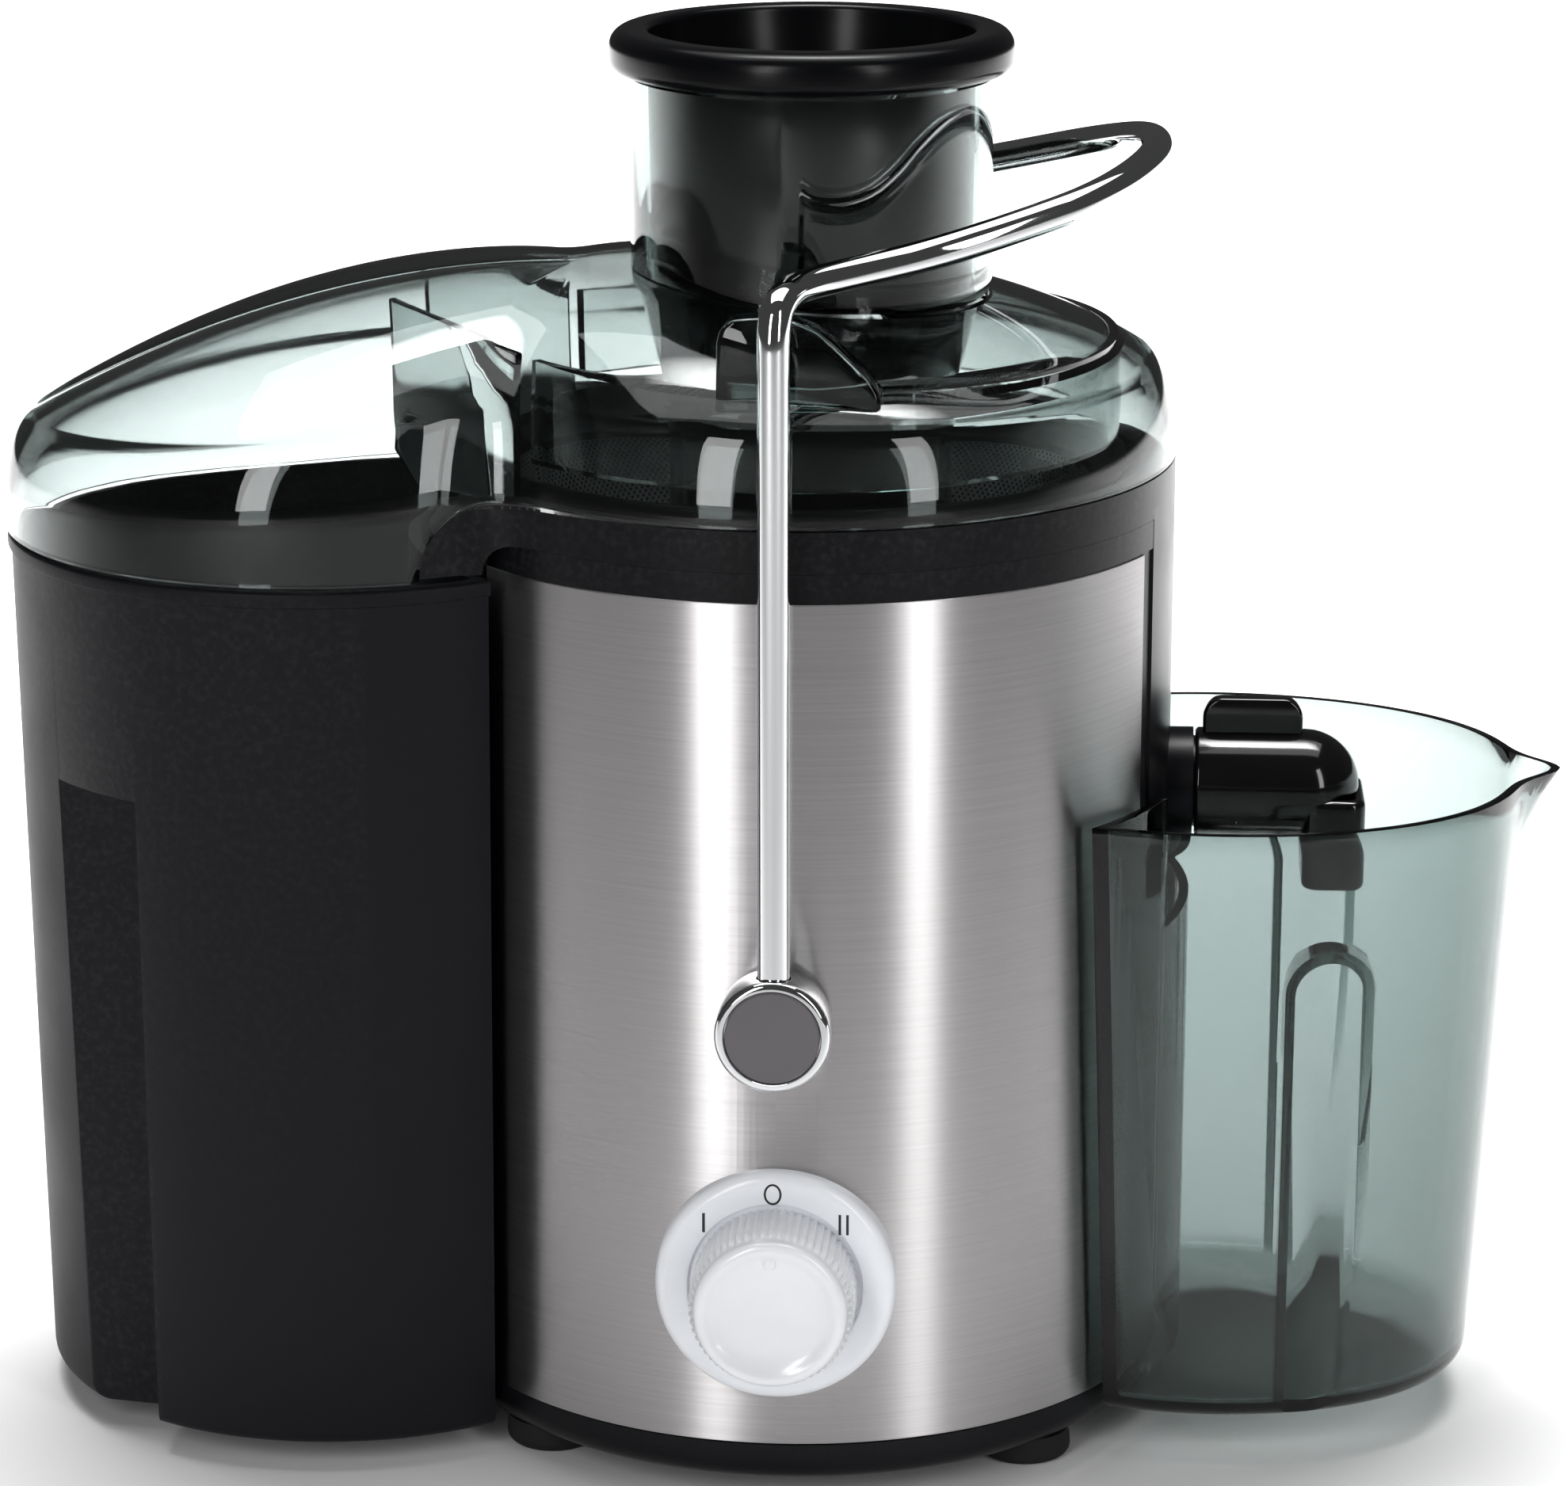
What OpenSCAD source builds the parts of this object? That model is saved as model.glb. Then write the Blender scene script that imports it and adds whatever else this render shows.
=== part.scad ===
// Centrifugal juicer with a pulp bin, a juice jug and a wire locking arm.
// Origin: on the body's axis, on the surface that the feet stand on.
// +X points to the jug, -Y to the control dial, +Z up. Sizes in millimetres.

/* [Base and feet] */
// Height of the rubber feet
foot_h = 6; // [5:0.5:9]
// Radius of one rubber foot
foot_r = 9.6; // [8:0.2:10.4]
// Distance of the feet from the axis, left and right
foot_x = 48.6; // [44:0.2:52]
// Distance of the feet from the axis, front and back
foot_y = 40.6; // [36:0.2:44]
// Height of the black rim of the base
base_h = 9; // [8.5:0.5:14]
// How far the base rim stands back from the steel
base_inset = 1; // [0.5:0.1:3]

/* [Body] */
// Outer radius of the steel wrap
body_r = 76.3; // [72:0.1:92]
// Thickness of the steel wrap
steel_t = 0.8; // [0.5:0.1:1]
// Height of the steel wrap
steel_h = 172.6; // [160:0.2:210]
// Height of the black band above the steel
band_h = 5.8; // [4:0.2:9]
// Wall of the plastic housing
wall = 2.4; // [1.8:0.1:3]
// Half width of the steel's cut-out round the spout
steel_slot_w = 30.4; // [28:0.2:34]
// Half width of the bowl's tongue in that cut-out
tongue_w = 25; // [20:0.2:26.5]
// How far the cut-out's round end lies below the steel's top
slot_drop = 49; // [44:0.5:56]

/* [Dial] */
// Height of the dial's centre above the base rim
dial_up = 34.7; // [30:0.1:50]
// Outer radius of the dial's bezel
bezel_r = 23.85; // [21:0.05:27]
// How far the bezel's face stands in front of the steel
bezel_proud = 3.2; // [2.6:0.1:5]
// Radius of the knob
knob_r = 16.3; // [13:0.1:18]
// How far the knob stands in front of the bezel
knob_proud = 15.5; // [10:0.5:20]
// Number of ridges round the knob
knob_ridges = 60; // [30:2:72]

/* [Locking arm] */
// Diameter of the arm's wire
wire_d = 6.3; // [5:0.1:7]
// Height of the arm's pivot above the base rim
pivot_up = 89.1; // [80:0.1:100]
// Radius of the pivot caps
cap_r = 11.3; // [10:0.1:14]
// Depth of the pivot caps
cap_t = 9.7; // [9:0.1:12]
// Gap between the steel and the pivot caps
cap_gap = 1; // [0.6:0.1:2]
// Radius of the pivot pins
pin_r = 3; // [2.5:0.1:3.6]
// Height of the arm's loop above the bowl's ring where it leaves the legs
arm_leg_up = 45.35; // [43:0.05:55]
// How far the arm's loop reaches to the right of the legs
arm_reach = 71; // [66:0.5:78]
// Half width of the loop where it runs beside the chute
arm_loop_w = 45; // [43:0.5:50]
// How much the loop rises from the legs to its tip
arm_rise = 17; // [12:0.5:22]

/* [Bowl and basket] */
// Height of the bowl's visible ring
ring_h = 8.2; // [7:0.1:11]
// Depth of the bowl below its ring
bowl_depth = 74; // [70:0.5:80]
// Gap between the bowl's wall and the housing
bowl_gap = 1.6; // [1:0.1:3]
// Wall of the bowl
bowl_wall = 2.4; // [2:0.1:3]
// Radial gap between the basket's upper ring and the bowl
basket_gap = 3.55; // [2.5:0.05:8]
// Radius of the mesh at the basket's floor
basket_floor_r = 43.5; // [40:0.5:48]
// Height of the basket's floor above the bowl's floor
basket_up = 19; // [18:0.5:24]
// Radius of the blade disc
blade_r = 38; // [34:0.5:40]
// Number of teeth in the blade disc's outer row
blade_teeth = 30; // [16:2:36]
// Outer radius of the spout
spout_r = 11.2; // [10:0.1:12]
// Wall of the spout's pipe
spout_wall = 1.8; // [1.7:0.1:2.2]
// Length of the spout elbow
spout_len = 33.7; // [30:0.1:40]
// Height of the nozzle's mouth below the spout's axis
nozzle_drop = 19.9; // [16:0.1:22]

/* [Lid, chute and pusher] */
// Wall of the lid and the chute
lid_wall = 2.2; // [1.8:0.1:2.6]
// Height of the lid's crown above the bowl's ring
lid_h = 38; // [34:0.5:46]
// Outer radius of the feed chute
chute_r = 36.4; // [33:0.1:38]
// How far the chute's axis lies right of the body's axis
chute_x = 1.9; // [0:0.1:3]
// Height of the chute's mouth above the bowl's ring
chute_h = 76.6; // [70:0.2:90]
// Radial play of the pusher in the chute
pusher_gap = 1; // [0.5:0.1:1.5]
// Radius of the pusher's rim
pusher_rim_r = 40.5; // [39.5:0.1:43]
// Height of the pusher's rim
pusher_rim_h = 8.5; // [6:0.1:11]
// Radius of the pusher's narrow lower end
pusher_end_r = 25.5; // [22:0.1:27]

/* [Pulp bin] */
// How far the bin's axis lies outside the steel
bin_out = 20.7; // [16:0.1:30]
// Outer radius of the bin at its top
bin_r = 66; // [62:0.1:72]
// Outer radius of the bin at its bottom
bin_foot_r = 63; // [60:0.1:66]
// Height of the bin's bottom above the surface
bin_low = 6; // [5:0.5:9]
// Gap between the bin's top and the bowl's arch
bin_top_gap = 2; // [1.5:0.1:3]
// Gap between the bin's hollow side and the steel
bin_gap = 1.8; // [1:0.1:3]
// Wall of the bin
bin_wall = 2.2; // [1.8:0.1:3]
// Depth of the grip channels in the bin's front and back
grip_in = 22.4; // [18:0.1:26]
// Height of the grip channels above the bin's bottom
grip_h = 134; // [100:1:150]

/* [Juice jug] */
// Height of the jug's bottom above the surface
jug_low = 10.3; // [5:0.1:14]
// Height of the jug's rim above the spout's axis
jug_up = 4.3; // [2:0.1:5]
// How far the jug's right wall lies outside the steel at the rim
jug_out = 71.7; // [64:0.1:84]
// Half width of the jug at its rim
jug_w = 54; // [48:0.5:58]
// How far the middle of the jug's plan lies outside the steel
jug_mid = 9.7; // [6:0.1:14]
// How far the jug's finger recesses lie outside the steel
jug_grip_out = 31.9; // [28:0.1:36]
// Half width of the jug's finger recesses
jug_grip_w = 6.8; // [5:0.1:8]
// How deep the jug's finger recesses are
jug_grip_in = 11.5; // [8:0.1:13]
// Share of the rim's size that the jug keeps at its bottom
jug_taper = 0.88; // [0.84:0.01:0.96]
// Gap between the jug's hollow side and the steel
jug_gap = 2.2; // [1.5:0.1:4]
// Wall of the jug
jug_wall = 2; // [1.6:0.1:2.6]
// How far the pouring lip stands out
lip_out = 8.5; // [5:0.1:12]

/* [Motor] */
// Radius of the motor's shaft
shaft_r = 4; // [3.5:0.1:5]
// Side of the square stator
stator_w = 60; // [54:0.5:66]
// Height of the stator's stack
stator_h = 34; // [28:0.5:40]
// Radius of the rotor
rotor_r = 17.6; // [15:0.1:19]
// Radius of the cooling fan
fan_r = 27; // [24:0.5:30]

/* [Fits] */
// Radial play of a turning fit
run_fit = 0.06; // [0.03:0.01:0.1]
// Gap between pieces that are assembled face to face
seat_gap = 0.05; // [0.03:0.01:0.1]
// Gap between pieces that are lifted apart by hand
hand_gap = 0.4; // [0.3:0.1:0.8]

/* [Hidden] */
$fn = 96;

eps = 0.01;
over = 200;
housing_r = body_r - steel_t - seat_gap;
housing_in = housing_r - wall;
band_r = body_r - 0.3;
ring_r = band_r;
wire_y = body_r + cap_gap + cap_t / 2 + 0.1;
bin_x = body_r + bin_out;
jug_reach = body_r + jug_out;
jug_cx = body_r + jug_mid;

// Levels of the outside, from the surface up
z_body = foot_h + base_h;
z_steel = z_body + steel_h;
z_house = z_steel + band_h;
z_ring = z_house + seat_gap + ring_h;
z_arch = z_house - band_h;
z_bin = z_arch - bin_top_gap;
z_dial = z_body + dial_up;
z_pivot = z_body + pivot_up;
z_chute = z_ring + chute_h;
z_slot = z_steel - slot_drop;
arm_leg_top = z_ring + arm_leg_up;

// Levels of the inside, from the bowl down
bowl_in = housing_in - bowl_gap - bowl_wall;
basket_r = bowl_in - basket_gap;
z_bowl = z_house - bowl_depth;
z_bowl_floor = z_bowl + bowl_wall + 0.1;
z_spout = z_bowl_floor + spout_r - spout_wall + 1;
deck_t = 3;
z_deck = z_bowl - 2 - deck_t;
z_basket = z_bowl_floor + basket_up;
z_mesh = z_basket + 4 + seat_gap;
z_mesh_top = z_ring - 5.2;
mesh_top_r = basket_r - 5;

// Plan of the bowl's ring and the lid, with a fillet in each corner
plan_fillet = 18;
lid_bin_r = bin_r + 0.4;
d_ring = ring_r + plan_fillet;
d_bin = lid_bin_r + plan_fillet;
fil_x = -(d_ring * d_ring - d_bin * d_bin + bin_x * bin_x) / (2 * bin_x);
fil_y = sqrt(d_ring * d_ring - fil_x * fil_x);
arch_out = z_ring - z_arch;
arch_in = z_house - z_arch + seat_gap;
arch_foot = 13;
arch_foot_w = 11.6;
arch_left = fil_x - arch_foot;
arch_in_left = arch_left + arch_foot_w;

// Spout, jug and their seam
spout_seam = body_r + 4.9;
spigot_r = spout_r - spout_wall;
spigot_len = 8;
socket_r = spigot_r + run_fit;
z_jug = z_spout + jug_up;
jug_h = z_jug - jug_low;

// Motor levels
bolt_p = 25;
bracket_t = 2.5;
z_low_bracket = z_body + 12;
z_stator = z_low_bracket + 23;
z_top_bracket = z_deck - 8.3;
bearing_r = 11;
bearing_h = 7;
z_low_bearing = z_low_bracket - 4;
z_top_bearing = z_top_bracket - 4.5;
coil_h = 6;
z_comm = z_low_bracket + 6.5;
comm_h = 9;
post_p = 64;

// Drive levels
coupling_r = 11;
z_coupling = z_bowl + 6;
coupling_h = z_basket - 1 - z_coupling;
hub_r = 15.2;
chimney_in = 17;

function arc(c, r, a0, a1, n = 12) = [for (i = [0:n]) let (a = a0 + (a1 - a0) * i / n)
    [c[0] + r * cos(a), c[1] + r * sin(a)]];

module tube(r_out, r_in, z0, z1) {
    translate([0, 0, z0]) difference() {
        cylinder(r = r_out, h = z1 - z0);
        translate([0, 0, -1]) cylinder(r = r_in, h = z1 - z0 + 2);
    }
}

// A cylinder along +Y from y0 to y1
module rod_y(r, y0, y1, x = 0, z = 0) {
    translate([x, y0, z]) rotate([-90, 0, 0]) cylinder(r = r, h = y1 - y0);
}

// A cylinder along +X from x0 to x1
module rod_x(r, x0, x1, z = 0) {
    translate([x0, 0, z]) rotate([0, 90, 0]) cylinder(r = r, h = x1 - x0);
}

// Extrudes an outline drawn in X and Z over the whole depth in Y
module through_y(depth = over) {
    translate([0, depth / 2, 0]) rotate([90, 0, 0]) linear_extrude(height = depth) children();
}

// Places children at the four corners of a square
module four_corners(p) {
    for (sx = [-1, 1]) for (sy = [-1, 1]) translate([sx * p, sy * p, 0]) children();
}

// Places children at four points on the axes
module four_sides(p) {
    for (a = [0:90:270]) rotate([0, 0, a]) translate([p, 0, 0]) children();
}

// The cut-out's outline in Y and Z, open at the top
module slot_outline(half_w, z_top) {
    translate([0, z_slot]) circle(r = half_w);
    translate([-half_w, z_slot]) square([2 * half_w, z_top - z_slot]);
}

// That outline cut or drawn through the right side of the body
module slot_solid(half_w, z_top) {
    translate([over, 0, 0]) rotate([90, 0, -90])
        linear_extrude(height = over - 40) slot_outline(half_w, z_top);
}

// Plan of the ring, the bin and the fillets between them, grown by g
module plan_outline(g = 0) {
    circle(r = ring_r + g);
    translate([-bin_x, 0]) circle(r = lid_bin_r + g);
    for (s = [-1, 1]) difference() {
        polygon([[0, 0], [fil_x, s * fil_y], [-bin_x, 0]]);
        translate([fil_x, s * fil_y]) circle(r = plan_fillet - g);
    }
}

// The bowl's band in X and Z, which turns down at the left in an arch
module arch_outline() {
    polygon(concat(
        arc([arch_left + arch_out, z_arch], arch_out, 90, 180),
        arc([arch_in_left + arch_in, z_arch], arch_in, 180, 90),
        [[arch_left + 40, z_house + seat_gap], [arch_left + 40, z_ring]]));
}

// Everything that the housing gives up below that band at the left
module arch_clearance() {
    polygon(concat(
        [[-over, z_house + 1], [-over, z_arch - 11], [arch_in_left, z_arch - 11]],
        arc([arch_in_left + arch_in, z_arch], arch_in, 180, 90),
        [[arch_in_left + arch_in, z_house + 1]]));
}

module housing_posts() {
    four_sides(post_p) translate([0, 0, z_body]) {
        cylinder(r = 4, h = 16);
        translate([0, -1.5, 0]) cube([housing_in - post_p + 1, 3, 16]);
    }
    four_corners(bolt_p) translate([0, 0, z_deck - 5]) cylinder(r = 4, h = 5 + eps);
}

module motor_housing() {
    boss_y = housing_in - 6;
    color("#1d1d1f") difference() {
        union() {
            tube(housing_r, housing_in, z_body, z_steel);
            tube(band_r, housing_in, z_steel, z_house);
            translate([0, 0, z_deck]) cylinder(r = housing_in + 1, h = deck_t);
            tube(11.5, 9, z_deck, z_bowl + 4);
            housing_posts();
            rod_y(6.5, -housing_in - 1, -boss_y, 0, z_pivot);
            rod_y(6.5, boss_y, housing_in + 1, 0, z_pivot);
        }
        slot_solid(tongue_w + hand_gap, z_house + 1);
        through_y() arch_clearance();
        translate([0, 0, z_deck - 1]) cylinder(r = 9, h = deck_t + 2);
        rod_y(pin_r + run_fit, -over, over, 0, z_pivot);
        rod_y(6.1, -over, 0, 0, z_dial);
        rod_y(7 + seat_gap, 0, over, 0, z_body + 13);
        four_sides(post_p) translate([0, 0, z_body - 1]) cylinder(r = 1.35, h = 14);
        four_corners(bolt_p) translate([0, 0, z_deck - 6]) cylinder(r = 1.6, h = 7);
    }
}

module steel_wrap() {
    color("#c4c2bf") difference() {
        tube(body_r, body_r - steel_t, z_body + 0.1, z_steel - seat_gap);
        slot_solid(steel_slot_w, z_steel + 1);
        through_y() arch_clearance();
        rod_y(pin_r + 1, -over, over, 0, z_pivot);
        rod_y(8, -over, 0, 0, z_dial);
        rod_y(7 + 2 * seat_gap, 0, over, 0, z_body + 13);
    }
}

module base_cover() {
    r = body_r - base_inset;
    round_r = 5;
    color("#1a1a1c") difference() {
        rotate_extrude() polygon(concat(
            [[0, foot_h]],
            arc([r - round_r, foot_h + round_r], round_r, -90, 0, 8),
            [[r, z_body - seat_gap], [r - wall, z_body - seat_gap], [r - wall, foot_h + wall + 2]],
            [[r - wall - 2, foot_h + wall], [0, foot_h + wall]]));
        for (i = [-4:4]) translate([i * 6.5 - 1.5, -22, foot_h - 1]) cube([3, 44, wall + 2]);
        four_sides(post_p) translate([0, 0, foot_h - 1]) cylinder(r = 4.2, h = wall + 2);
        for (sx = [-1, 1]) for (sy = [-1, 1])
            translate([sx * foot_x, sy * foot_y, foot_h - 1]) cylinder(r = 3, h = wall + 2);
    }
    color("#1a1a1c") four_sides(post_p) difference() {
        tube(6, 1.6, foot_h + 0.5, z_body - seat_gap);
        translate([0, 0, foot_h]) cylinder(r = 4.2, h = base_h - 4);
    }
}

module rubber_feet() {
    color("#131314") for (sx = [-1, 1]) for (sy = [-1, 1]) translate([sx * foot_x, sy * foot_y, 0]) {
        rotate_extrude() polygon(concat(
            [[0, 0]],
            arc([foot_r - 2, 2], 2, -90, 0, 5),
            [[foot_r, foot_h - seat_gap], [2.9, foot_h - seat_gap]],
            [[2.9, foot_h + wall + 1], [0, foot_h + wall + 1]]));
    }
}

module base_screws() {
    color("#8d8f92") four_sides(post_p) {
        translate([0, 0, foot_h + base_h - 6.5]) cylinder(r = 3.4, h = 2.4);
        translate([0, 0, foot_h + base_h - 4.2]) cylinder(r = 1.3, h = 15);
    }
}

module cord_gland() {
    z = z_body + 13;
    color("#151516") difference() {
        union() {
            rod_y(7, housing_in - 6, body_r + 3, 0, z);
            rod_y(9.5, body_r + seat_gap, body_r + 4, 0, z);
        }
        rod_y(3.5, 0, over, 0, z);
    }
}

// The dial's parts are drawn about +Z and then turned to face -Y
module at_dial() {
    translate([0, -(body_r + bezel_proud), z_dial]) rotate([90, 0, 0]) children();
}

module dial_bezel() {
    well_r = knob_r + 0.9;
    color("#b9babc") difference() {
        at_dial() rotate_extrude() polygon(concat(
            [[6.3, -7], [bezel_r, -7]],
            arc([bezel_r - 2.4, -2.4], 2.4, 0, 90, 6),
            [[well_r + 0.8, 0], [well_r, -0.8], [well_r, -1.6], [6.3, -1.6]]));
        cylinder(r = body_r + seat_gap, h = over);
    }
}

module knob_outline() {
    polygon([for (i = [0:2 * knob_ridges - 1]) let (r = knob_r - (i % 2) * 0.5)
        [r * cos(i * 180 / knob_ridges), r * sin(i * 180 / knob_ridges)]]);
}

module dial_knob() {
    stem = bezel_proud + steel_t + wall + 8;
    color("#c2c3c5") at_dial() difference() {
        union() {
            translate([0, 0, -1.2]) linear_extrude(height = knob_proud - 1.3) knob_outline();
            translate([0, 0, knob_proud - 2.6])
                rotate_extrude() polygon(concat([[0, 0]], arc([knob_r - 2.6, 0], 2, 0, 90, 6), [[0, 2]]));
            translate([0, 0, -stem]) cylinder(r = 2.8, h = stem);
        }
        translate([0, 0, knob_proud + 27.2]) sphere(r = 28.6);
        translate([0, knob_r - 6.3, knob_proud - 0.8]) cylinder(r = 1.2, h = 2);
    }
}

module rotary_switch() {
    back = housing_in - 5;
    color("#d8d5cc") difference() {
        union() {
            translate([-13, -back, z_dial - 13]) cube([26, 18, 26]);
            rod_y(6, -housing_r - 0.4, -back + 1, 0, z_dial);
        }
        rod_y(2.8 + run_fit, -over, -back + 12, 0, z_dial);
    }
}

module safety_switch() {
    color("#2a2a2c") {
        translate([9, -(housing_in - 16), z_deck - 20]) cube([8, 10, 20 - seat_gap]);
        translate([11, -(housing_in - 16) - 2, z_deck - 12]) cube([4, 2 + eps, 6]);
    }
}

module pivot_pins() {
    out = body_r + cap_gap + 6.2;
    color("#9a9c9f") for (s = [-1, 1]) {
        rod_y(pin_r, s > 0 ? housing_in - 8 : -out, s > 0 ? out : -housing_in + 8, 0, z_pivot);
        scale([1, s, 1]) rod_y(5, housing_in - 10, housing_in - 7.5, 0, z_pivot);
    }
}

// A pivot cap, drawn for the front; the rear one is its mirror image
module pivot_cap() {
    y0 = body_r + cap_gap;
    color("#d5d7da") difference() {
        union() {
            rod_y(cap_r, -y0 - cap_t + 1.2, -y0, 0, z_pivot);
            translate([0, -y0 - cap_t + 1.2, z_pivot]) rotate([90, 0, 0])
                cylinder(r1 = cap_r, r2 = cap_r - 1.2, h = 1.2);
        }
        rod_y(pin_r + run_fit, -y0 - cap_t + 3, 0, 0, z_pivot);
        rod_y(cap_r - 1.9, -over, -y0 - cap_t + 1.4, 0, z_pivot);
        translate([0, -wire_y, z_pivot + pin_r + 1.5]) cylinder(r = wire_d / 2 + seat_gap, h = 30);
    }
}

module front_pivot_cap() {
    pivot_cap();
}

module rear_pivot_cap() {
    mirror([0, 1, 0]) pivot_cap();
}

module pivot_cap_discs() {
    y0 = body_r + cap_gap + cap_t;
    color("#6d6b6b") for (s = [0, 1]) mirror([0, s, 0])
        rod_y(cap_r - 2, -y0 + 0.2, -y0 + 1.3, 0, z_pivot);
}

// Control points of the arm from its front foot to the loop's tip
arm_half = [
    [0, -wire_y, z_pivot + pin_r + 1.6],
    [0, -wire_y, arm_leg_top - 40],
    [0, -wire_y, arm_leg_top - 14],
    [0, -wire_y, arm_leg_top - 4],
    [1, -wire_y + 3, arm_leg_top],
    [4, -wire_y + 13, arm_leg_top + 0.8],
    [14, -arm_loop_w - 15, arm_leg_top + 1.8],
    [28, -arm_loop_w - 6, arm_leg_top + 3.8],
    [arm_reach * 0.6, -arm_loop_w, arm_leg_top + arm_rise * 0.45],
    [arm_reach * 0.85, -arm_loop_w * 0.78, arm_leg_top + arm_rise * 0.75],
    [arm_reach, -arm_loop_w * 0.3, arm_leg_top + arm_rise]];
arm_ctrl = concat(arm_half,
    [for (i = [len(arm_half) - 1:-1:0]) [arm_half[i][0], -arm_half[i][1], arm_half[i][2]]]);
arm_last = len(arm_ctrl) - 1;
bend_steps = 5;

// Points on a smooth curve that touches the middle of each stretch between control points
arm_path = concat([arm_ctrl[0]],
    [for (i = [1:arm_last - 1]) for (k = [0:bend_steps - 1]) let (t = k / bend_steps,
        a = (arm_ctrl[i - 1] + arm_ctrl[i]) / 2, b = (arm_ctrl[i] + arm_ctrl[i + 1]) / 2)
        a * (1 - t) * (1 - t) + arm_ctrl[i] * 2 * t * (1 - t) + b * t * t],
    [(arm_ctrl[arm_last - 1] + arm_ctrl[arm_last]) / 2, arm_ctrl[arm_last]]);

function unit(v) = v / norm(v);

// One ring of the wire's surface round point i of the path
function wire_ring(path, i, r, sides) = let (
    t = unit(path[min(i + 1, len(path) - 1)] - path[max(i - 1, 0)]),
    u = unit(cross(t, [1, 0, -1])),
    v = cross(t, u))
    [for (k = [0:sides - 1]) path[i] + r * (cos(k * 360 / sides) * u + sin(k * 360 / sides) * v)];

module swept_wire(path, r, sides) {
    n = len(path);
    polyhedron(
        points = [for (i = [0:n - 1]) each wire_ring(path, i, r, sides)],
        faces = concat([[for (k = [0:sides - 1]) k]], [[for (k = [sides - 1:-1:0]) (n - 1) * sides + k]],
            [for (i = [0:n - 2]) for (k = [0:sides - 1]) let (m = (k + 1) % sides)
                each [[i * sides + k, (i + 1) * sides + k, i * sides + m],
                    [i * sides + m, (i + 1) * sides + k, (i + 1) * sides + m]]]));
}

module locking_arm() {
    color("#dcdee0") swept_wire(arm_path, wire_d / 2, 16);
}

// A motor bracket: a square plate with a cup for its bearing
module motor_bracket(z_plate, z_bearing, shoulder_z) {
    plate_w = stator_w + 2;
    difference() {
        union() {
            translate([-plate_w / 2, -plate_w / 2, z_plate]) cube([plate_w, plate_w, bracket_t]);
            tube(bearing_r + 2.4, shaft_r + 2, z_bearing - 1.5, z_bearing + bearing_h + 1.5);
        }
        translate([0, 0, z_bearing - seat_gap])
            cylinder(r = bearing_r + seat_gap, h = bearing_h + 2 * seat_gap);
        translate([0, 0, shoulder_z]) cylinder(r = bearing_r + seat_gap, h = 6);
        translate([0, 0, z_plate - 20]) cylinder(r = shaft_r + 2, h = 40);
    }
}

module lower_motor_bracket() {
    color("#8b8e92") difference() {
        motor_bracket(z_low_bracket, z_low_bearing, z_low_bearing + 3);
        four_corners(bolt_p) translate([0, 0, z_low_bracket - 1]) cylinder(r = 2.2, h = 5);
    }
    color("#8b8e92") four_corners(bolt_p) tube(4, 2.2, z_low_bracket + bracket_t, z_stator - seat_gap);
}

module upper_motor_bracket() {
    color("#8b8e92") difference() {
        motor_bracket(z_top_bracket, z_top_bearing, z_top_bearing - 2);
        four_corners(bolt_p) translate([0, 0, z_top_bracket - 1]) cylinder(r = 3.3, h = 5);
    }
}

module motor_grommets() {
    color("#101011") four_corners(bolt_p) difference() {
        union() {
            tube(5.5, 2.2, z_top_bracket - 1.5 - seat_gap, z_top_bracket - seat_gap);
            tube(3.2, 2.2, z_top_bracket - 0.1, z_top_bracket + bracket_t + 0.1);
            tube(5.5, 2.2, z_top_bracket + bracket_t + seat_gap, z_deck - 5 - seat_gap);
        }
        translate([0, 0, z_top_bracket - 9]) cylinder(r = 2.2, h = 20);
    }
    color("#101011") four_corners(bolt_p)
        tube(3.2, 2.2, z_top_bracket - 0.2, z_top_bracket + bracket_t + 0.3);
}

module motor_bolts() {
    color("#9a9c9f") four_corners(bolt_p) {
        translate([0, 0, z_low_bracket - 3]) cylinder(r = 4, h = 3 - seat_gap);
        translate([0, 0, z_low_bracket - 1]) cylinder(r = 2, h = z_deck - 5.2 - z_low_bracket + 1);
        translate([0, 0, z_deck - 6]) cylinder(r = 1.5, h = 5);
    }
}

module motor_stator() {
    color("#7d7f84") difference() {
        translate([-stator_w / 2, -stator_w / 2, z_stator]) cube([stator_w, stator_w, stator_h]);
        translate([0, 0, z_stator - 1]) cylinder(r = rotor_r + 0.7, h = stator_h + 2);
        four_corners(bolt_p) translate([0, 0, z_stator - 1]) cylinder(r = 2.2, h = stator_h + 2);
        for (s = [-1, 1]) translate([-12, s * 22 - 4, z_stator - 1]) cube([24, 8, stator_h + 2]);
    }
}

// The windings pass through the stator's two windows and turn over at its ends
module field_coils() {
    color("#a65a2a") for (s = [-1, 1]) difference() {
        translate([-11.6, s * 22 - 3.6, z_stator - coil_h]) cube([23.2, 7.2, stator_h + 2 * coil_h]);
        translate([0, 0, z_stator - coil_h - 1]) cylinder(r = rotor_r + 0.7, h = stator_h + 20);
    }
}

module brush_holders() {
    color("#c9a64a") for (s = [-1, 1]) difference() {
        translate([s * 18.7 - 5, -4, z_low_bracket + bracket_t + seat_gap]) cube([10, 8, comm_h + 3]);
        translate([s * 18.7 - 6, -2.5, z_comm + 1]) cube([12, 5, 6]);
    }
}

module carbon_brushes() {
    color("#2b2b2b") for (s = [-1, 1]) difference() {
        translate([s * 15.5 - 5.6, -2.45, z_comm + 1.05]) cube([11.2, 4.9, 5.9]);
        translate([0, 0, z_comm]) cylinder(r = 10 + run_fit, h = comm_h);
    }
}

module bearing(z) {
    tube(bearing_r, bearing_r - 2.2, z, z + bearing_h);
    tube(bearing_r - 2.1, shaft_r + 2.2, z + 0.8, z + bearing_h - 0.8);
    tube(shaft_r + 2.3, shaft_r + run_fit, z, z + bearing_h);
}

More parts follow.
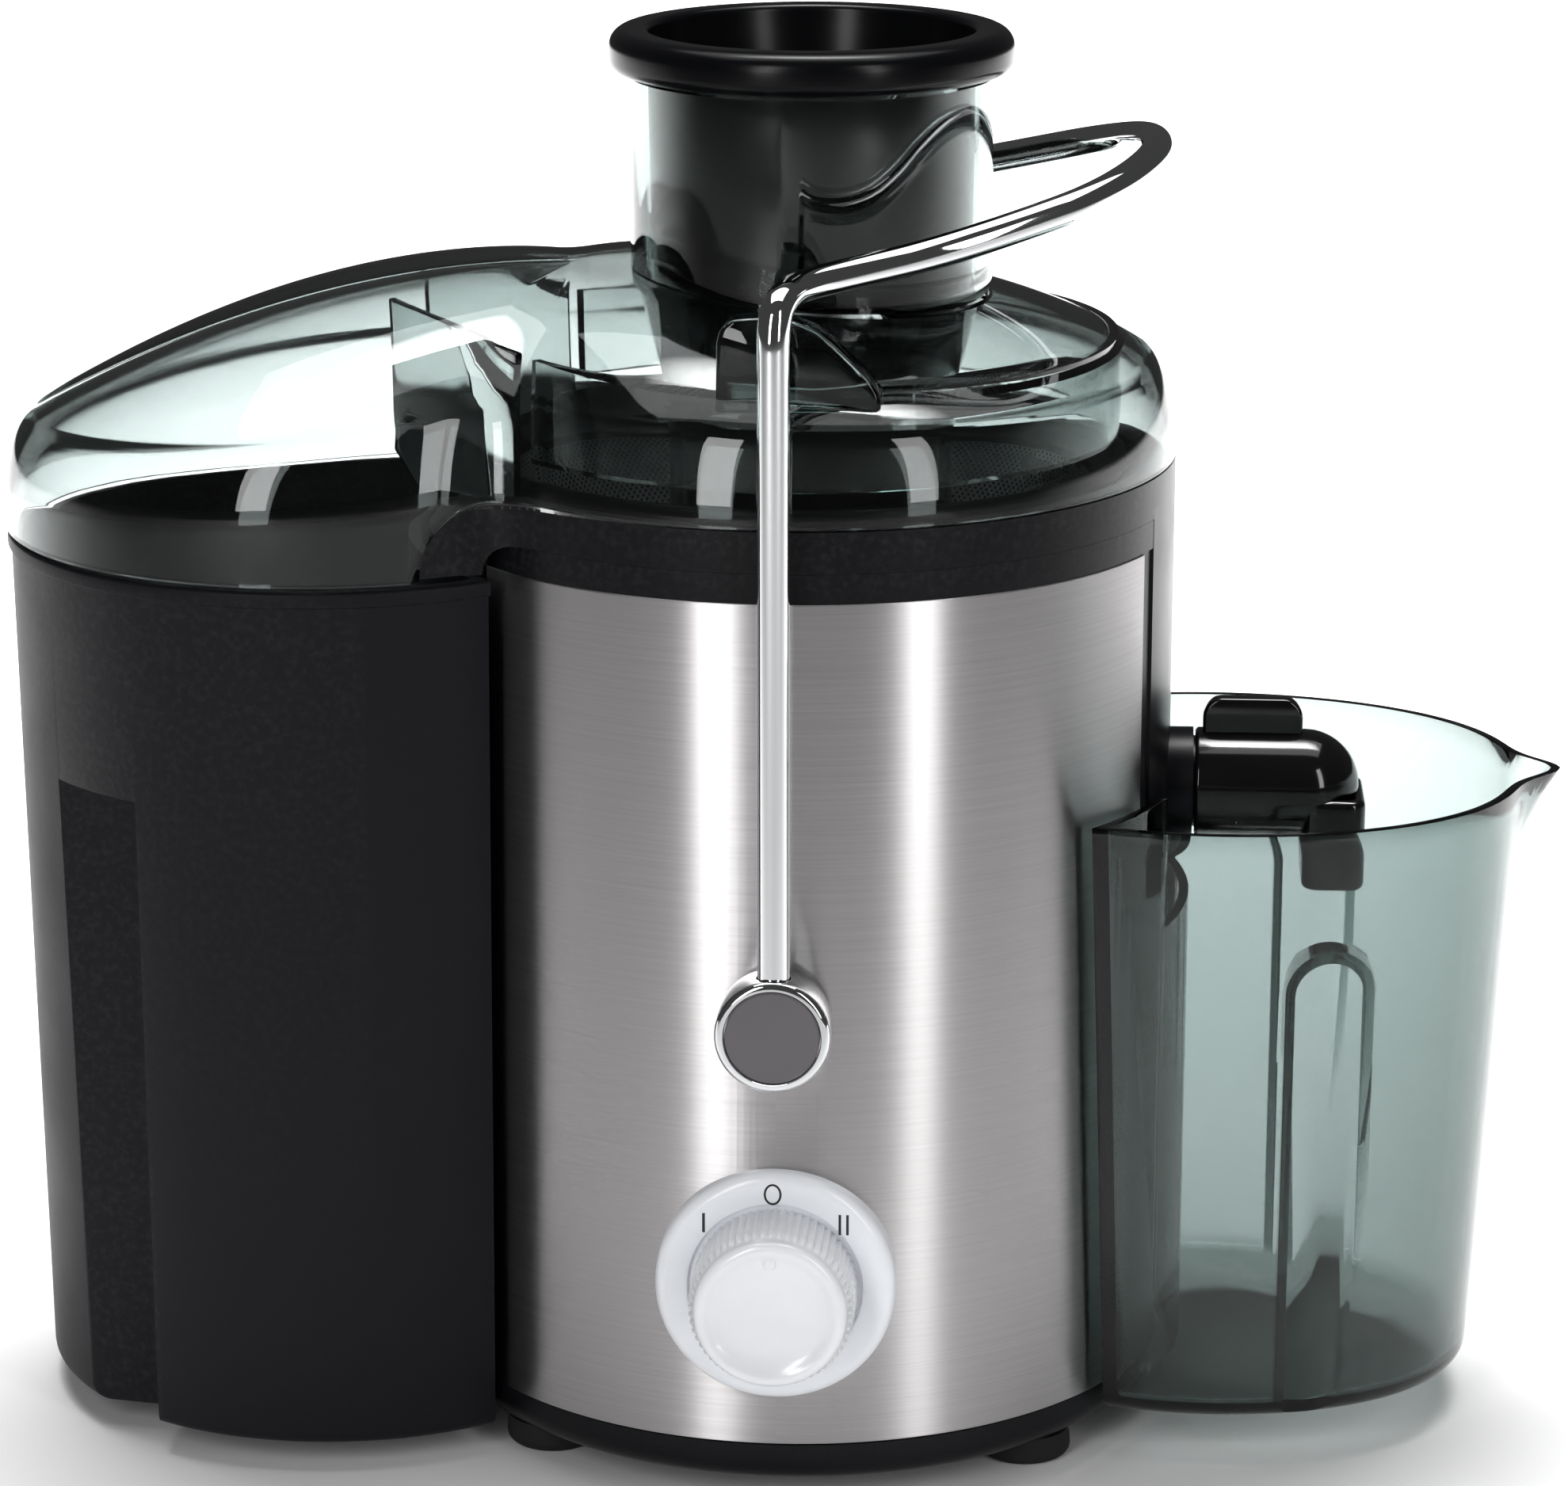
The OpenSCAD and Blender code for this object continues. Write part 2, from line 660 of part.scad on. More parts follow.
module lower_bearing() {
    color("#b5b7ba") bearing(z_low_bearing);
}

module upper_bearing() {
    color("#b5b7ba") bearing(z_top_bearing);
}

module motor_shaft() {
    color("#a9abae") translate([0, 0, z_low_bearing - 1])
        cylinder(r = shaft_r, h = z_coupling + 12 - z_low_bearing);
}

module rotor_core() {
    color("#6f7277") difference() {
        tube(rotor_r, shaft_r + seat_gap, z_stator, z_stator + stator_h);
        for (a = [0:30:330]) rotate([0, 0, a])
            translate([rotor_r - 4, -0.9, z_stator - 1]) cube([6, 1.8, stator_h + 2]);
    }
}

module rotor_windings() {
    color("#b4622c") {
        tube(rotor_r - 2.5, shaft_r + 2, z_stator - coil_h, z_stator - seat_gap);
        tube(rotor_r - 2.5, shaft_r + 2, z_stator + stator_h + seat_gap, z_stator + stator_h + coil_h);
    }
}

module commutator() {
    color("#c07a3e") difference() {
        tube(10, shaft_r + seat_gap, z_comm, z_comm + comm_h);
        for (a = [0:30:330]) rotate([0, 0, a]) translate([8.6, -0.3, z_comm - 1]) cube([3, 0.6, comm_h + 2]);
    }
}

module cooling_fan() {
    z = z_stator + stator_h + coil_h + 1.5;
    fan_h = 8;
    color("#2c3b52") {
        tube(fan_r, shaft_r + seat_gap, z, z + 1.6);
        tube(shaft_r + 3, shaft_r + seat_gap, z, z + fan_h);
        for (a = [0:36:324]) rotate([0, 0, a])
            translate([shaft_r + 2, -0.7, z]) cube([fan_r - shaft_r - 3, 1.4, fan_h]);
    }
}

module drive_coupling() {
    color("#26262a") difference() {
        union() {
            translate([0, 0, z_coupling]) cylinder(r = coupling_r - 2, h = coupling_h);
            for (a = [0:60:300]) rotate([0, 0, a])
                translate([0, -2, z_coupling]) cube([coupling_r, 4, coupling_h - 1]);
        }
        translate([0, 0, z_coupling - 1]) cylinder(r = shaft_r + seat_gap, h = 12.2);
    }
}

// Carries the mesh and the blades, and fits over the coupling's six ribs
module basket_hub() {
    color("#1c1c1f") difference() {
        union() {
            translate([0, 0, z_coupling + 1]) cylinder(r = hub_r, h = z_basket - z_coupling);
            translate([0, 0, z_basket - eps]) cylinder(r = basket_floor_r, h = 4);
        }
        translate([0, 0, z_coupling]) cylinder(r = coupling_r - 2 + hand_gap, h = coupling_h + 0.4);
        for (a = [0:60:300]) rotate([0, 0, a])
            translate([0, -2 - hand_gap, z_coupling])
                cube([coupling_r + hand_gap, 4 + 2 * hand_gap, coupling_h + 0.4]);
    }
}

module filter_mesh() {
    t = 0.7;
    color("#a7a9ac") rotate_extrude() polygon([
        [basket_floor_r - 0.5, z_mesh],
        [mesh_top_r, z_mesh_top],
        [mesh_top_r - t, z_mesh_top],
        [basket_floor_r - 0.5 - t, z_mesh]]);
}

module basket_ring() {
    z = z_mesh_top + seat_gap;
    color("#1c1c1f") rotate_extrude() polygon([
        [mesh_top_r - 1.4, z],
        [mesh_top_r + 1.8, z],
        [basket_r, z + 3.45],
        [basket_r, z_ring + 2],
        [basket_r - 2, z_ring + 2],
        [basket_r - 2.6, z + 4.35],
        [mesh_top_r - 1.4, z + 1.95]]);
}

// Rows of small upright teeth on a thin disc, round a domed centre
module blade_disc() {
    color("#b9bbbe") {
        translate([0, 0, z_mesh]) cylinder(r = blade_r, h = 1);
        for (row = [0:3]) {
            r = blade_r - 3 - row * 6.5;
            n = blade_teeth - row * 6;
            for (i = [0:n - 1]) rotate([0, 0, (i + row / 2) * 360 / n])
                translate([r, 0, z_mesh + 1 - eps]) cylinder(r1 = 1.1, r2 = 0.1, h = 1.9, $fn = 3);
        }
        translate([0, 0, z_mesh]) cylinder(r1 = 9, r2 = 7, h = 4);
    }
}

module bowl_tongue() {
    difference() {
        intersection() {
            tube(ring_r, bowl_in + bowl_wall - 0.5, z_slot - tongue_w, z_house + 2);
            slot_solid(tongue_w, z_house + 3);
        }
        tube(housing_in + 1, bowl_in + bowl_wall + 0.2, z_slot - tongue_w - 1, z_spout - spout_r - 1);
    }
}

module juice_bowl() {
    r_out = bowl_in + bowl_wall;
    color("#1b1b1d") difference() {
        union() {
            tube(r_out, bowl_in, z_bowl, z_ring - 1.5);
            translate([0, 0, z_bowl]) cylinder(r = r_out, h = bowl_wall);
            tube(chimney_in + 2.2, chimney_in, z_bowl, z_basket - 2);
            difference() {
                tube(ring_r, bowl_in, z_house + seat_gap, z_ring);
                through_y() polygon([
                    [-over, 0],
                    [arch_left + arch_out, 0],
                    [arch_left + arch_out, over],
                    [-over, over]]);
            }
            intersection() {
                translate([0, 0, z_arch - 12]) linear_extrude(height = 40) difference() {
                    plan_outline();
                    plan_outline(-2.8);
                }
                through_y() arch_outline();
            }
            intersection() {
                tube(ring_r, bowl_in, z_arch - 11 + seat_gap, z_arch - hand_gap);
                translate([-over, -over / 2, 0]) cube([over + arch_in_left - 0.3, over, over * 2]);
            }
            bowl_tongue();
            rod_x(spout_r, bowl_in + 0.5, spout_seam - 0.4, z_spout);
            rod_x(spigot_r, bowl_in + 0.5, spout_seam + spigot_len, z_spout);
        }
        translate([0, 0, z_bowl - 1]) cylinder(r = chimney_in, h = 40);
        rod_x(spigot_r - 2, bowl_in - 6, over, z_spout);
        rotate([0, 90, 0]) translate([-z_spout, 0, spout_seam + 4]) difference() {
            cylinder(r = spigot_r + 1, h = 1.6);
            translate([0, 0, -1]) cylinder(r = spigot_r - 1.1, h = 4);
        }
        difference() {
            translate([-over, -48, z_arch - hand_gap]) cube([over - 20, 96, 60]);
            translate([0, 0, z_arch - 12]) linear_extrude(height = 60) difference() {
                plan_outline(1);
                plan_outline(-2.8);
            }
        }
    }
}

module spout_o_ring() {
    color("#3b3b3d") rotate([0, 90, 0]) translate([-z_spout, 0, spout_seam + 4.8])
        rotate_extrude() translate([spigot_r - 0.55, 0]) circle(r = 0.5, $fn = 24);
}

module spout_elbow() {
    x1 = spout_seam + spout_len;
    noz_x = 12.8;
    noz_y = 2 * spout_r - 0.4;
    color("#161617") difference() {
        union() {
            rod_x(spout_r, spout_seam, x1 - spout_r, z_spout);
            translate([x1 - spout_r, 0, z_spout]) sphere(r = spout_r);
            translate([x1 + 1.2 - noz_x, -noz_y / 2, z_spout - nozzle_drop])
                cube([noz_x, noz_y, nozzle_drop - 1]);
            translate([spout_seam + 1.5, -2, z_spout + spout_r - 2]) cube([20.4, 4, 5]);
            thumb_tab();
        }
        rod_x(socket_r, spout_seam - 1, spout_seam + spigot_len + hand_gap, z_spout);
        rod_x(spigot_r - 1.6, spout_seam, x1 - spout_r, z_spout);
        translate([x1 - spout_r, 0, z_spout]) sphere(r = spigot_r - 1.6);
        translate([x1 + 3.2 - noz_x, -noz_y / 2 + 2, z_spout - nozzle_drop - 1])
            cube([noz_x - 4, noz_y - 4, nozzle_drop + 1]);
    }
}

// The thumb tab on top of the elbow
module thumb_tab() {
    for (x = [spout_seam + 5.5, spout_seam + 17.9]) rod_y(4, -2, 2, x, z_spout + spout_r + 2.9);
    translate([spout_seam + 5.5, -2, z_spout + spout_r]) cube([12.4, 4, 6.9]);
}

// The lid's surface is drawn on rays from a point between the two round ends
ray_x = -45;
function ray_hit(cx, cy, r, a, far) = let (
    dx = ray_x - cx, h = dx * cos(a) - cy * sin(a), q = dx * dx + cy * cy - r * r, d = h * h - q)
    d < 0 ? -1 : -h + (far ? 1 : -1) * sqrt(d);

// Distance from that point to the plan's outline in direction a
function lid_reach(a, g) = let (
    both = max(ray_hit(0, 0, ring_r + g, a, true), ray_hit(-bin_x, 0, lid_bin_r + g, a, true)),
    s = sin(a) < 0 ? -1 : 1,
    fil = ray_hit(fil_x, s * fil_y, plan_fillet - g, a, false),
    t1 = atan2(s * fil_y * ring_r / d_ring, fil_x * ring_r / d_ring - ray_x),
    t2 = atan2(s * fil_y * lid_bin_r / d_bin, -bin_x + (fil_x + bin_x) * lid_bin_r / d_bin - ray_x),
    w = a > 180 ? a - 360 : a)
    fil > 0 && abs(w) > abs(t1) && abs(w) < abs(t2) ? fil : both;

// Height of the lid's surface at share u of the way from its edge to the middle
shoulder_w = 6;
function lid_height(a, u, reach) = let (
    f = (1 + cos(a)) / 2,
    crown = z_ring + lid_h,
    edge = crown - lid_h * (0.92 - 0.37 * sqrt(f)),
    drop = 11 + 5 * f,
    s = max(0, 1 - u * reach / shoulder_w))
    crown - (crown - edge) * pow(1 - u, 1.9 + 1.6 * pow(f, 0.4)) - drop * (1 - sqrt(1 - s * s));

lid_steps = [0, 0.003, 0.01, 0.02, 0.034, 0.052, 0.09, 0.15, 0.23, 0.33, 0.45, 0.6, 0.8];
lid_rays = 72;

// Points of one skin, from its lower edge inward, moved in by g
function lid_skin(g) = [for (k = [-1:len(lid_steps) - 1]) for (i = [0:lid_rays - 1]) let (
    a = i * 360 / lid_rays,
    reach = lid_reach(a, -g),
    u = k < 0 ? 0 : lid_steps[k],
    p = reach * (1 - u),
    z = k < 0 ? z_arch - 8 : lid_height(a, u, reach) - g)
    [ray_x + p * cos(a), p * sin(a), z]];

module lid_solid(g) {
    n = lid_rays;
    rows = len(lid_steps) + 1;
    polyhedron(
        points = concat(lid_skin(g), [[ray_x, 0, z_ring + lid_h - g], [ray_x, 0, z_arch - 8]]),
        faces = concat(
            [for (k = [0:rows - 2]) for (i = [0:n - 1]) let (m = (i + 1) % n)
                each [[k * n + i, (k + 1) * n + i, k * n + m],
                    [k * n + m, (k + 1) * n + i, (k + 1) * n + m]]],
            [for (i = [0:n - 1]) [(rows - 1) * n + i, rows * n, (rows - 1) * n + (i + 1) % n]],
            [for (i = [0:n - 1]) [i, (i + 1) % n, rows * n + 1]]));
}

// Everything below the lid's lower edge
module below_lid() {
    r = arch_out + hand_gap;
    polygon(concat([[over, -over], [over, z_ring + hand_gap]],
        arc([arch_left + arch_out, z_arch], r, 90, 180),
        [[arch_left - hand_gap, z_arch - 1], [-over * 2, z_arch - 1], [-over * 2, -over]]));
}

module locking_ear() {
    for (s = [-1, 1]) translate([0, s * (ring_r - 14), 0]) rotate([90, 0, 0])
        linear_extrude(height = 8, center = true)
            polygon([
                [-12.3, z_ring + 20],
                [-12, z_ring + 36],
                [-9, z_ring + 39],
                [3, z_ring + 38.6],
                [10, z_ring + 34.5],
                [17, z_ring + 28],
                [19.5, z_ring + 20]]);
}

z_chute_foot = z_ring + lid_h - 4;
chute_in = chute_r - lid_wall - 0.5;
pusher_r = chute_in - pusher_gap;
z_taper = z_chute_foot - 24;
z_pusher = z_mesh + 9;
end_out = pusher_end_r + pusher_gap + lid_wall;

// A plate each side that guides the pulp from the basket to the bin
guide_r = basket_r + 3.87;
guide_a = 40.44;
guide_turn = 102.06;
module pulp_guides() {
    for (s = [0, 1]) mirror([0, s, 0]) rotate([0, 0, guide_a]) translate([-guide_r, 0, 0])
        rotate([90, 0, guide_turn]) linear_extrude(height = 2) polygon([
            [0, z_ring - 2.6],
            [29, z_ring - 2.6],
            [35, z_ring + 4],
            [35, z_ring + lid_h - 5.5],
            [0, z_ring + lid_h - 10.5]]);
}

module lid() {
    color("#4e5c56", 0.45) {
        difference() {
            union() {
                difference() {
                    lid_solid(0);
                    lid_solid(lid_wall);
                    through_y(over * 2) below_lid();
                }
                locking_ear();
                pulp_guides();
                difference() {
                    tube(basket_r - 1.5, basket_r - 3.5, z_ring + 5, z_ring + 22.6);
                    linear_extrude(height = over * 2)
                        polygon([[0, 0], [-over, over * 0.8], [-over, -over * 0.8]]);
                }
            }
            translate([chute_x, 0, z_chute_foot - 40]) cylinder(r = chute_r - 0.4, h = over);
        }
        translate([chute_x, 0, 0]) rotate_extrude() polygon([
            [end_out - lid_wall, z_pusher + 3],
            [end_out, z_pusher + 3],
            [end_out, z_taper],
            [chute_r, z_chute_foot],
            [chute_r, z_chute],
            [chute_in, z_chute],
            [chute_in, z_chute_foot],
            [end_out - lid_wall, z_taper]]);
    }
}

module pusher() {
    z1 = z_chute + hand_gap;
    z2 = z1 + pusher_rim_h;
    mid = pusher_rim_h / 2;
    color("#19191b") translate([chute_x, 0, 0]) rotate_extrude() polygon(concat(
        [[0, z_pusher], [pusher_end_r - 2, z_pusher], [pusher_end_r, z_pusher + 2]],
        [[pusher_end_r, z_taper], [pusher_r, z_chute_foot], [pusher_r, z1]],
        arc([pusher_rim_r - 3, z1 + 3], 3, -90, 0, 5),
        arc([pusher_rim_r - mid, z2 - mid], mid, 0, 90, 6),
        [[pusher_rim_r - 5, z2], [pusher_r, z2 - 2], [pusher_r - 2.4, z1 - 3]],
        [[pusher_r - 2.4, z_chute_foot], [pusher_end_r - 2.4, z_taper]],
        [[pusher_end_r - 2.4, z_pusher + 2.4], [0, z_pusher + 2.4]]));
}

bin_in = body_r + bin_gap;

// Plan of the finger channels at the bin's front and back, moved out by g
module grip_plan(g) {
    x = -bin_x - bin_r / 2 + g;
    y = -bin_r + grip_in + g;
    for (s = [-1, 1]) scale([1, s]) polygon([
        [x - 19.2, y + 3],
        [x - 1.2, y],
        [x + 1.2, y - 2.4],
        [x + 1.8, -over],
        [-2 * over, -over],
        [-2 * over, y + 3]]);
}

module grip_solid(g) {
    translate([0, 0, bin_low - 1]) linear_extrude(height = grip_h + 1 + g) grip_plan(g);
}

module pulp_container() {
    h = z_bin - bin_low;
    color("#232224") difference() {
        union() {
            translate([-bin_x, 0, bin_low]) cylinder(r1 = bin_foot_r, r2 = bin_r - 0.7, h = h);
            translate([-bin_x, 0, z_bin - 3.2]) cylinder(r = bin_r, h = 3.2);
        }
        translate([0, 0, bin_low - 1]) cylinder(r = bin_in, h = h + 2);
        grip_solid(0);
        difference() {
            translate([-bin_x, 0, bin_low + bin_wall])
                cylinder(r1 = bin_foot_r - bin_wall, r2 = bin_r - 0.7 - bin_wall, h = h - bin_wall + eps);
            translate([0, 0, bin_low - 1]) cylinder(r = bin_in + bin_wall, h = h + 2);
            grip_solid(bin_wall);
        }
    }
}

jug_in = body_r + jug_gap;

// Solid form of the jug, moved in by g, before its hollow side is cut
module jug_form(g, z0) {
    a = jug_reach - jug_cx - g;
    b = jug_w - g;
    translate([jug_cx, 0, z0]) linear_extrude(height = z_jug - z0, scale = 1 / jug_taper)
        polygon([for (i = [0:47]) let (t = i * 7.5)
            [a * jug_taper * cos(t), b * jug_taper * sign(sin(t)) * pow(abs(sin(t)), 0.86)]]);
}

module jug_lip(g) {
    hull() {
        translate([jug_reach - 9, 0, z_jug - 0.2]) cylinder(r = 14 - g, h = 0.2, $fn = 32);
        translate([jug_reach + lip_out - 3.5 - g, 0, z_jug - 0.2]) cylinder(r = 3 - g / 2, h = 0.2, $fn = 24);
        translate([jug_reach - 10, 0, z_jug - 30]) cylinder(r = 8 - g, h = 0.2, $fn = 32);
    }
}

// The finger recesses in the jug's front and back
module jug_grip(g) {
    w = jug_grip_w + g;
    top = z_jug - 34;
    for (s = [-1, 1]) translate([body_r + jug_grip_out, s * (jug_w + 15 - jug_grip_in - g), 0])
        rotate([90, 0, 0]) linear_extrude(height = 30, center = true) {
            translate([0, top]) circle(r = w);
            translate([-w, 0]) square([2 * w, top]);
        }
}

module juice_jug() {
    notch_w = spout_r + 16.5;
    color("#7f9088", 0.4) difference() {
        union() {
            jug_form(0, jug_low);
            jug_lip(0);
        }
        cylinder(r = jug_in, h = over);
        jug_grip(0);
        difference() {
            union() {
                jug_form(jug_wall, jug_low + jug_wall + 0.6);
                translate([0, 0, eps]) jug_lip(jug_wall);
                translate([jug_cx, 0, z_jug - eps]) cube([40, 60, 1], center = true);
            }
            cylinder(r = jug_in + jug_wall, h = over);
            jug_grip(jug_wall);
        }
        translate([over / 4, -notch_w, z_spout - nozzle_drop - 3])
            cube([jug_in + 8 - over / 4, 2 * notch_w, over]);
    }
}

motor_housing();
steel_wrap();
base_cover();
rubber_feet();
base_screws();
cord_gland();
dial_bezel();
dial_knob();
rotary_switch();
safety_switch();
pivot_pins();
front_pivot_cap();
rear_pivot_cap();
pivot_cap_discs();
locking_arm();
lower_motor_bracket();
upper_motor_bracket();
motor_grommets();
motor_bolts();
motor_stator();
field_coils();
brush_holders();
carbon_brushes();
lower_bearing();
upper_bearing();
motor_shaft();
rotor_core();
rotor_windings();
commutator();
cooling_fan();
drive_coupling();
basket_hub();
filter_mesh();
basket_ring();
blade_disc();
juice_bowl();
spout_o_ring();
spout_elbow();
lid();
pusher();
pulp_container();
juice_jug();
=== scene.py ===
import math
import bmesh
import bpy
import numpy as np
from mathutils import Matrix, Vector


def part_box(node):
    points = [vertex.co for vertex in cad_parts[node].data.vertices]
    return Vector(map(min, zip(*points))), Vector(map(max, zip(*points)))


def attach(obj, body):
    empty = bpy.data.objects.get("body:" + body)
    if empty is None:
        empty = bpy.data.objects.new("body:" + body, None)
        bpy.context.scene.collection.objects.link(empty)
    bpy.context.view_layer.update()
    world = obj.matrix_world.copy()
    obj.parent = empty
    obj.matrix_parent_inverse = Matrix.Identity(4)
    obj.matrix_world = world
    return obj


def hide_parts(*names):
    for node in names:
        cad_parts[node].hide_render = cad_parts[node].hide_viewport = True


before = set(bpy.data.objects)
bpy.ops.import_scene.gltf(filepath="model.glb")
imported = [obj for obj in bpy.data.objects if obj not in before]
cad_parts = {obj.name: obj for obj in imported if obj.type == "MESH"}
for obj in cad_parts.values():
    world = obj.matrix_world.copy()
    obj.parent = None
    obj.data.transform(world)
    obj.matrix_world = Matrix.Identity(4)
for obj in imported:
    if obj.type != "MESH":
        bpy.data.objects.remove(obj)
bpy.context.scene.view_settings.view_transform = "Standard"
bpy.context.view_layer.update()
M = 0.001  # one millimetre in the frame's metres


# ---------------------------------------------------------------- camera
def look(cam, azimuth, pitch):
    cam.rotation_euler = (math.radians(90 - pitch), 0, math.radians(azimuth))


cam_data = bpy.data.cameras.new("camera")
cam = bpy.data.objects.new("camera", cam_data)
bpy.context.scene.collection.objects.link(cam)
bpy.context.scene.camera = cam
cam.location = (0.0666, -1.0198, 0.4291)
look(cam, 3.94, 15.86)
cam_data.lens = 117.84
cam_data.sensor_width = 36
cam_data.clip_start = 0.05
cam_data.clip_end = 30


# ---------------------------------------------------------------- measures from the frame
def box(node):
    lo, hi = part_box(node)
    return [v / M for v in lo], [v / M for v in hi]


STEEL_LO, STEEL_HI = box("steel_wrap")
BODY_R = -STEEL_LO[1]
Z_BODY = STEEL_LO[2] - 0.1
Z_RING = box("juice_bowl")[1][2]
Z_HOUSE = box("motor_housing")[1][2]
RING_R = BODY_R - 0.3
LID_LO, LID_HI = box("lid")
PUSH_LO, PUSH_HI = box("pusher")
BIN_LO, BIN_HI = box("pulp_container")
JUG_LO, JUG_HI = box("juice_jug")
KNOB_LO, KNOB_HI = box("dial_knob")
BEZ_LO, BEZ_HI = box("dial_bezel")
ELB_LO, ELB_HI = box("spout_elbow")
CAP_LO, CAP_HI = box("front_pivot_cap")


# ---------------------------------------------------------------- mesh helpers, all in millimetres
def new_object(name, verts, faces, mat, body, smooth=True, angle=40):
    mesh = bpy.data.meshes.new(name)
    mesh.from_pydata([tuple(float(c) * M for c in v) for v in verts], [], [tuple(f) for f in faces])
    mesh.validate()
    obj = bpy.data.objects.new(name, mesh)
    bpy.context.scene.collection.objects.link(obj)
    mesh.materials.append(mat)
    clean(obj)
    if smooth:
        shade(obj, angle)
    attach(obj, body)
    return obj


def clean(obj):
    bm = bmesh.new()
    bm.from_mesh(obj.data)
    bmesh.ops.remove_doubles(bm, verts=bm.verts, dist=2e-6)
    bmesh.ops.recalc_face_normals(bm, faces=bm.faces)
    bm.to_mesh(obj.data)
    bm.free()


def shade(obj, angle=40):
    for p in obj.data.polygons:
        p.use_smooth = True
    obj.data.set_sharp_from_angle(angle=math.radians(angle))


def arc(c, r, a0, a1, n=10):
    return [(c[0] + r * math.cos(math.radians(a0 + (a1 - a0) * i / n)),
             c[1] + r * math.sin(math.radians(a0 + (a1 - a0) * i / n))) for i in range(n + 1)]


def lathe(profile, n=192, cx=0.0, cy=0.0, closed=True):
    """Turns a profile of (r, z) about the vertical through (cx, cy)."""
    verts, faces, rings = [], [], []
    for r, z in profile:
        if r < 1e-6:
            rings.append([len(verts)] * n)
            verts.append((cx, cy, z))
        else:
            rings.append(list(range(len(verts), len(verts) + n)))
            verts += [(cx + r * math.cos(2 * math.pi * i / n), cy + r * math.sin(2 * math.pi * i / n), z)
                      for i in range(n)]
    m = len(profile)
    for k in range(m if closed else m - 1):
        a, b = rings[k], rings[(k + 1) % m]
        for i in range(n):
            j = (i + 1) % n
            f = []
            for v in (a[i], a[j], b[j], b[i]):
                if v not in f:
                    f.append(v)
            if len(f) > 2:
                faces.append(f)
    return verts, faces


def turned(verts, matrix):
    return [tuple(matrix @ Vector(v)) for v in verts]


def tube_along(points, radius, sides=24):
    """A round wire along a list of points, without twist."""
    pts = [Vector(p) for p in points]
    verts, faces = [], []
    t0 = (pts[1] - pts[0]).normalized()
    side = t0.orthogonal().normalized()
    last = t0
    for i, p in enumerate(pts):
        t = (pts[min(i + 1, len(pts) - 1)] - pts[max(i - 1, 0)]).normalized()
        side = (last.rotation_difference(t) @ side).normalized()
        side = (side - t * side.dot(t)).normalized()
        last = t
        up = t.cross(side)
        verts += [tuple(p + radius * (math.cos(2 * math.pi * k / sides) * side
                                      + math.sin(2 * math.pi * k / sides) * up)) for k in range(sides)]
    for i in range(len(pts) - 1):
        for k in range(sides):
            j = (k + 1) % sides
            faces.append((i * sides + k, i * sides + j, (i + 1) * sides + j, (i + 1) * sides + k))
    faces.append(list(range(sides))[::-1])
    faces.append([(len(pts) - 1) * sides + k for k in range(sides)])
    return verts, faces


def bspline(ctrl, steps):
    """Quadratic curve through the middles of the stretches between control points."""
    c = [np.array(p, float) for p in ctrl]
    out = [c[0]]
    for i in range(1, len(c) - 1):
        a, b = (c[i - 1] + c[i]) / 2, (c[i] + c[i + 1]) / 2
        for k in range(steps):
            t = k / steps
            out.append(a * (1 - t) ** 2 + c[i] * 2 * t * (1 - t) + b * t * t)
    out += [(c[-2] + c[-1]) / 2, c[-1]]
    return out


def apply_modifiers(obj):
    """Makes the object's modifiers part of its mesh."""
    bpy.context.view_layer.update()
    dg = bpy.context.evaluated_depsgraph_get()
    mesh = bpy.data.meshes.new_from_object(obj.evaluated_get(dg))
    obj.modifiers.clear()
    old = obj.data
    obj.data = mesh
    bpy.data.meshes.remove(old)


def boolean(obj, cutter, op="DIFFERENCE"):
    mod = obj.modifiers.new("cut", "BOOLEAN")
    mod.operation = op
    mod.solver = "EXACT"
    mod.object = cutter
    apply_modifiers(obj)
    bpy.data.objects.remove(cutter)


def scrap(verts, faces):
    mesh = bpy.data.meshes.new("scrap")
    mesh.from_pydata([tuple(float(c) * M for c in v) for v in verts], [], [tuple(f) for f in faces])
    obj = bpy.data.objects.new("scrap", mesh)
    bpy.context.scene.collection.objects.link(obj)
    clean(obj)
    return obj


def between(first, second):
    """A solid between two matching closed outlines."""
    n = len(first)
    faces = [(i, (i + 1) % n, n + (i + 1) % n, n + i) for i in range(n)]
    faces += [list(range(n))[::-1], list(range(n, 2 * n))]
    return first + second, faces


def prism(outline, z0, z1):
    """A solid between two levels over an outline of (x, y)."""
    return between([(x, y, z0) for x, y in outline], [(x, y, z1) for x, y in outline])


def prism_y(outline, y0, y1):
    """A solid between two depths behind an outline of (x, z)."""
    return between([(x, y0, z) for x, z in outline], [(x, y1, z) for x, z in outline])


def prism_x(outline, x0, x1):
    """A solid between two sides of an outline of (y, z)."""
    return between([(x0, y, z) for y, z in outline], [(x1, y, z) for y, z in outline])


def block(xs, ys, zs):
    """A box between two values along each axis."""
    verts = [(x, y, z) for x in xs for y in ys for z in zs]
    return verts, [(0, 1, 3, 2), (4, 6, 7, 5), (0, 4, 5, 1), (2, 3, 7, 6), (0, 2, 6, 4), (1, 5, 7, 3)]


def bevel(obj, width, segments=3, angle=30):
    mod = obj.modifiers.new("edges", "BEVEL")
    mod.width = width * M
    mod.segments = segments
    mod.limit_method = "ANGLE"
    mod.angle_limit = math.radians(angle)
    mod.harden_normals = False
    apply_modifiers(obj)


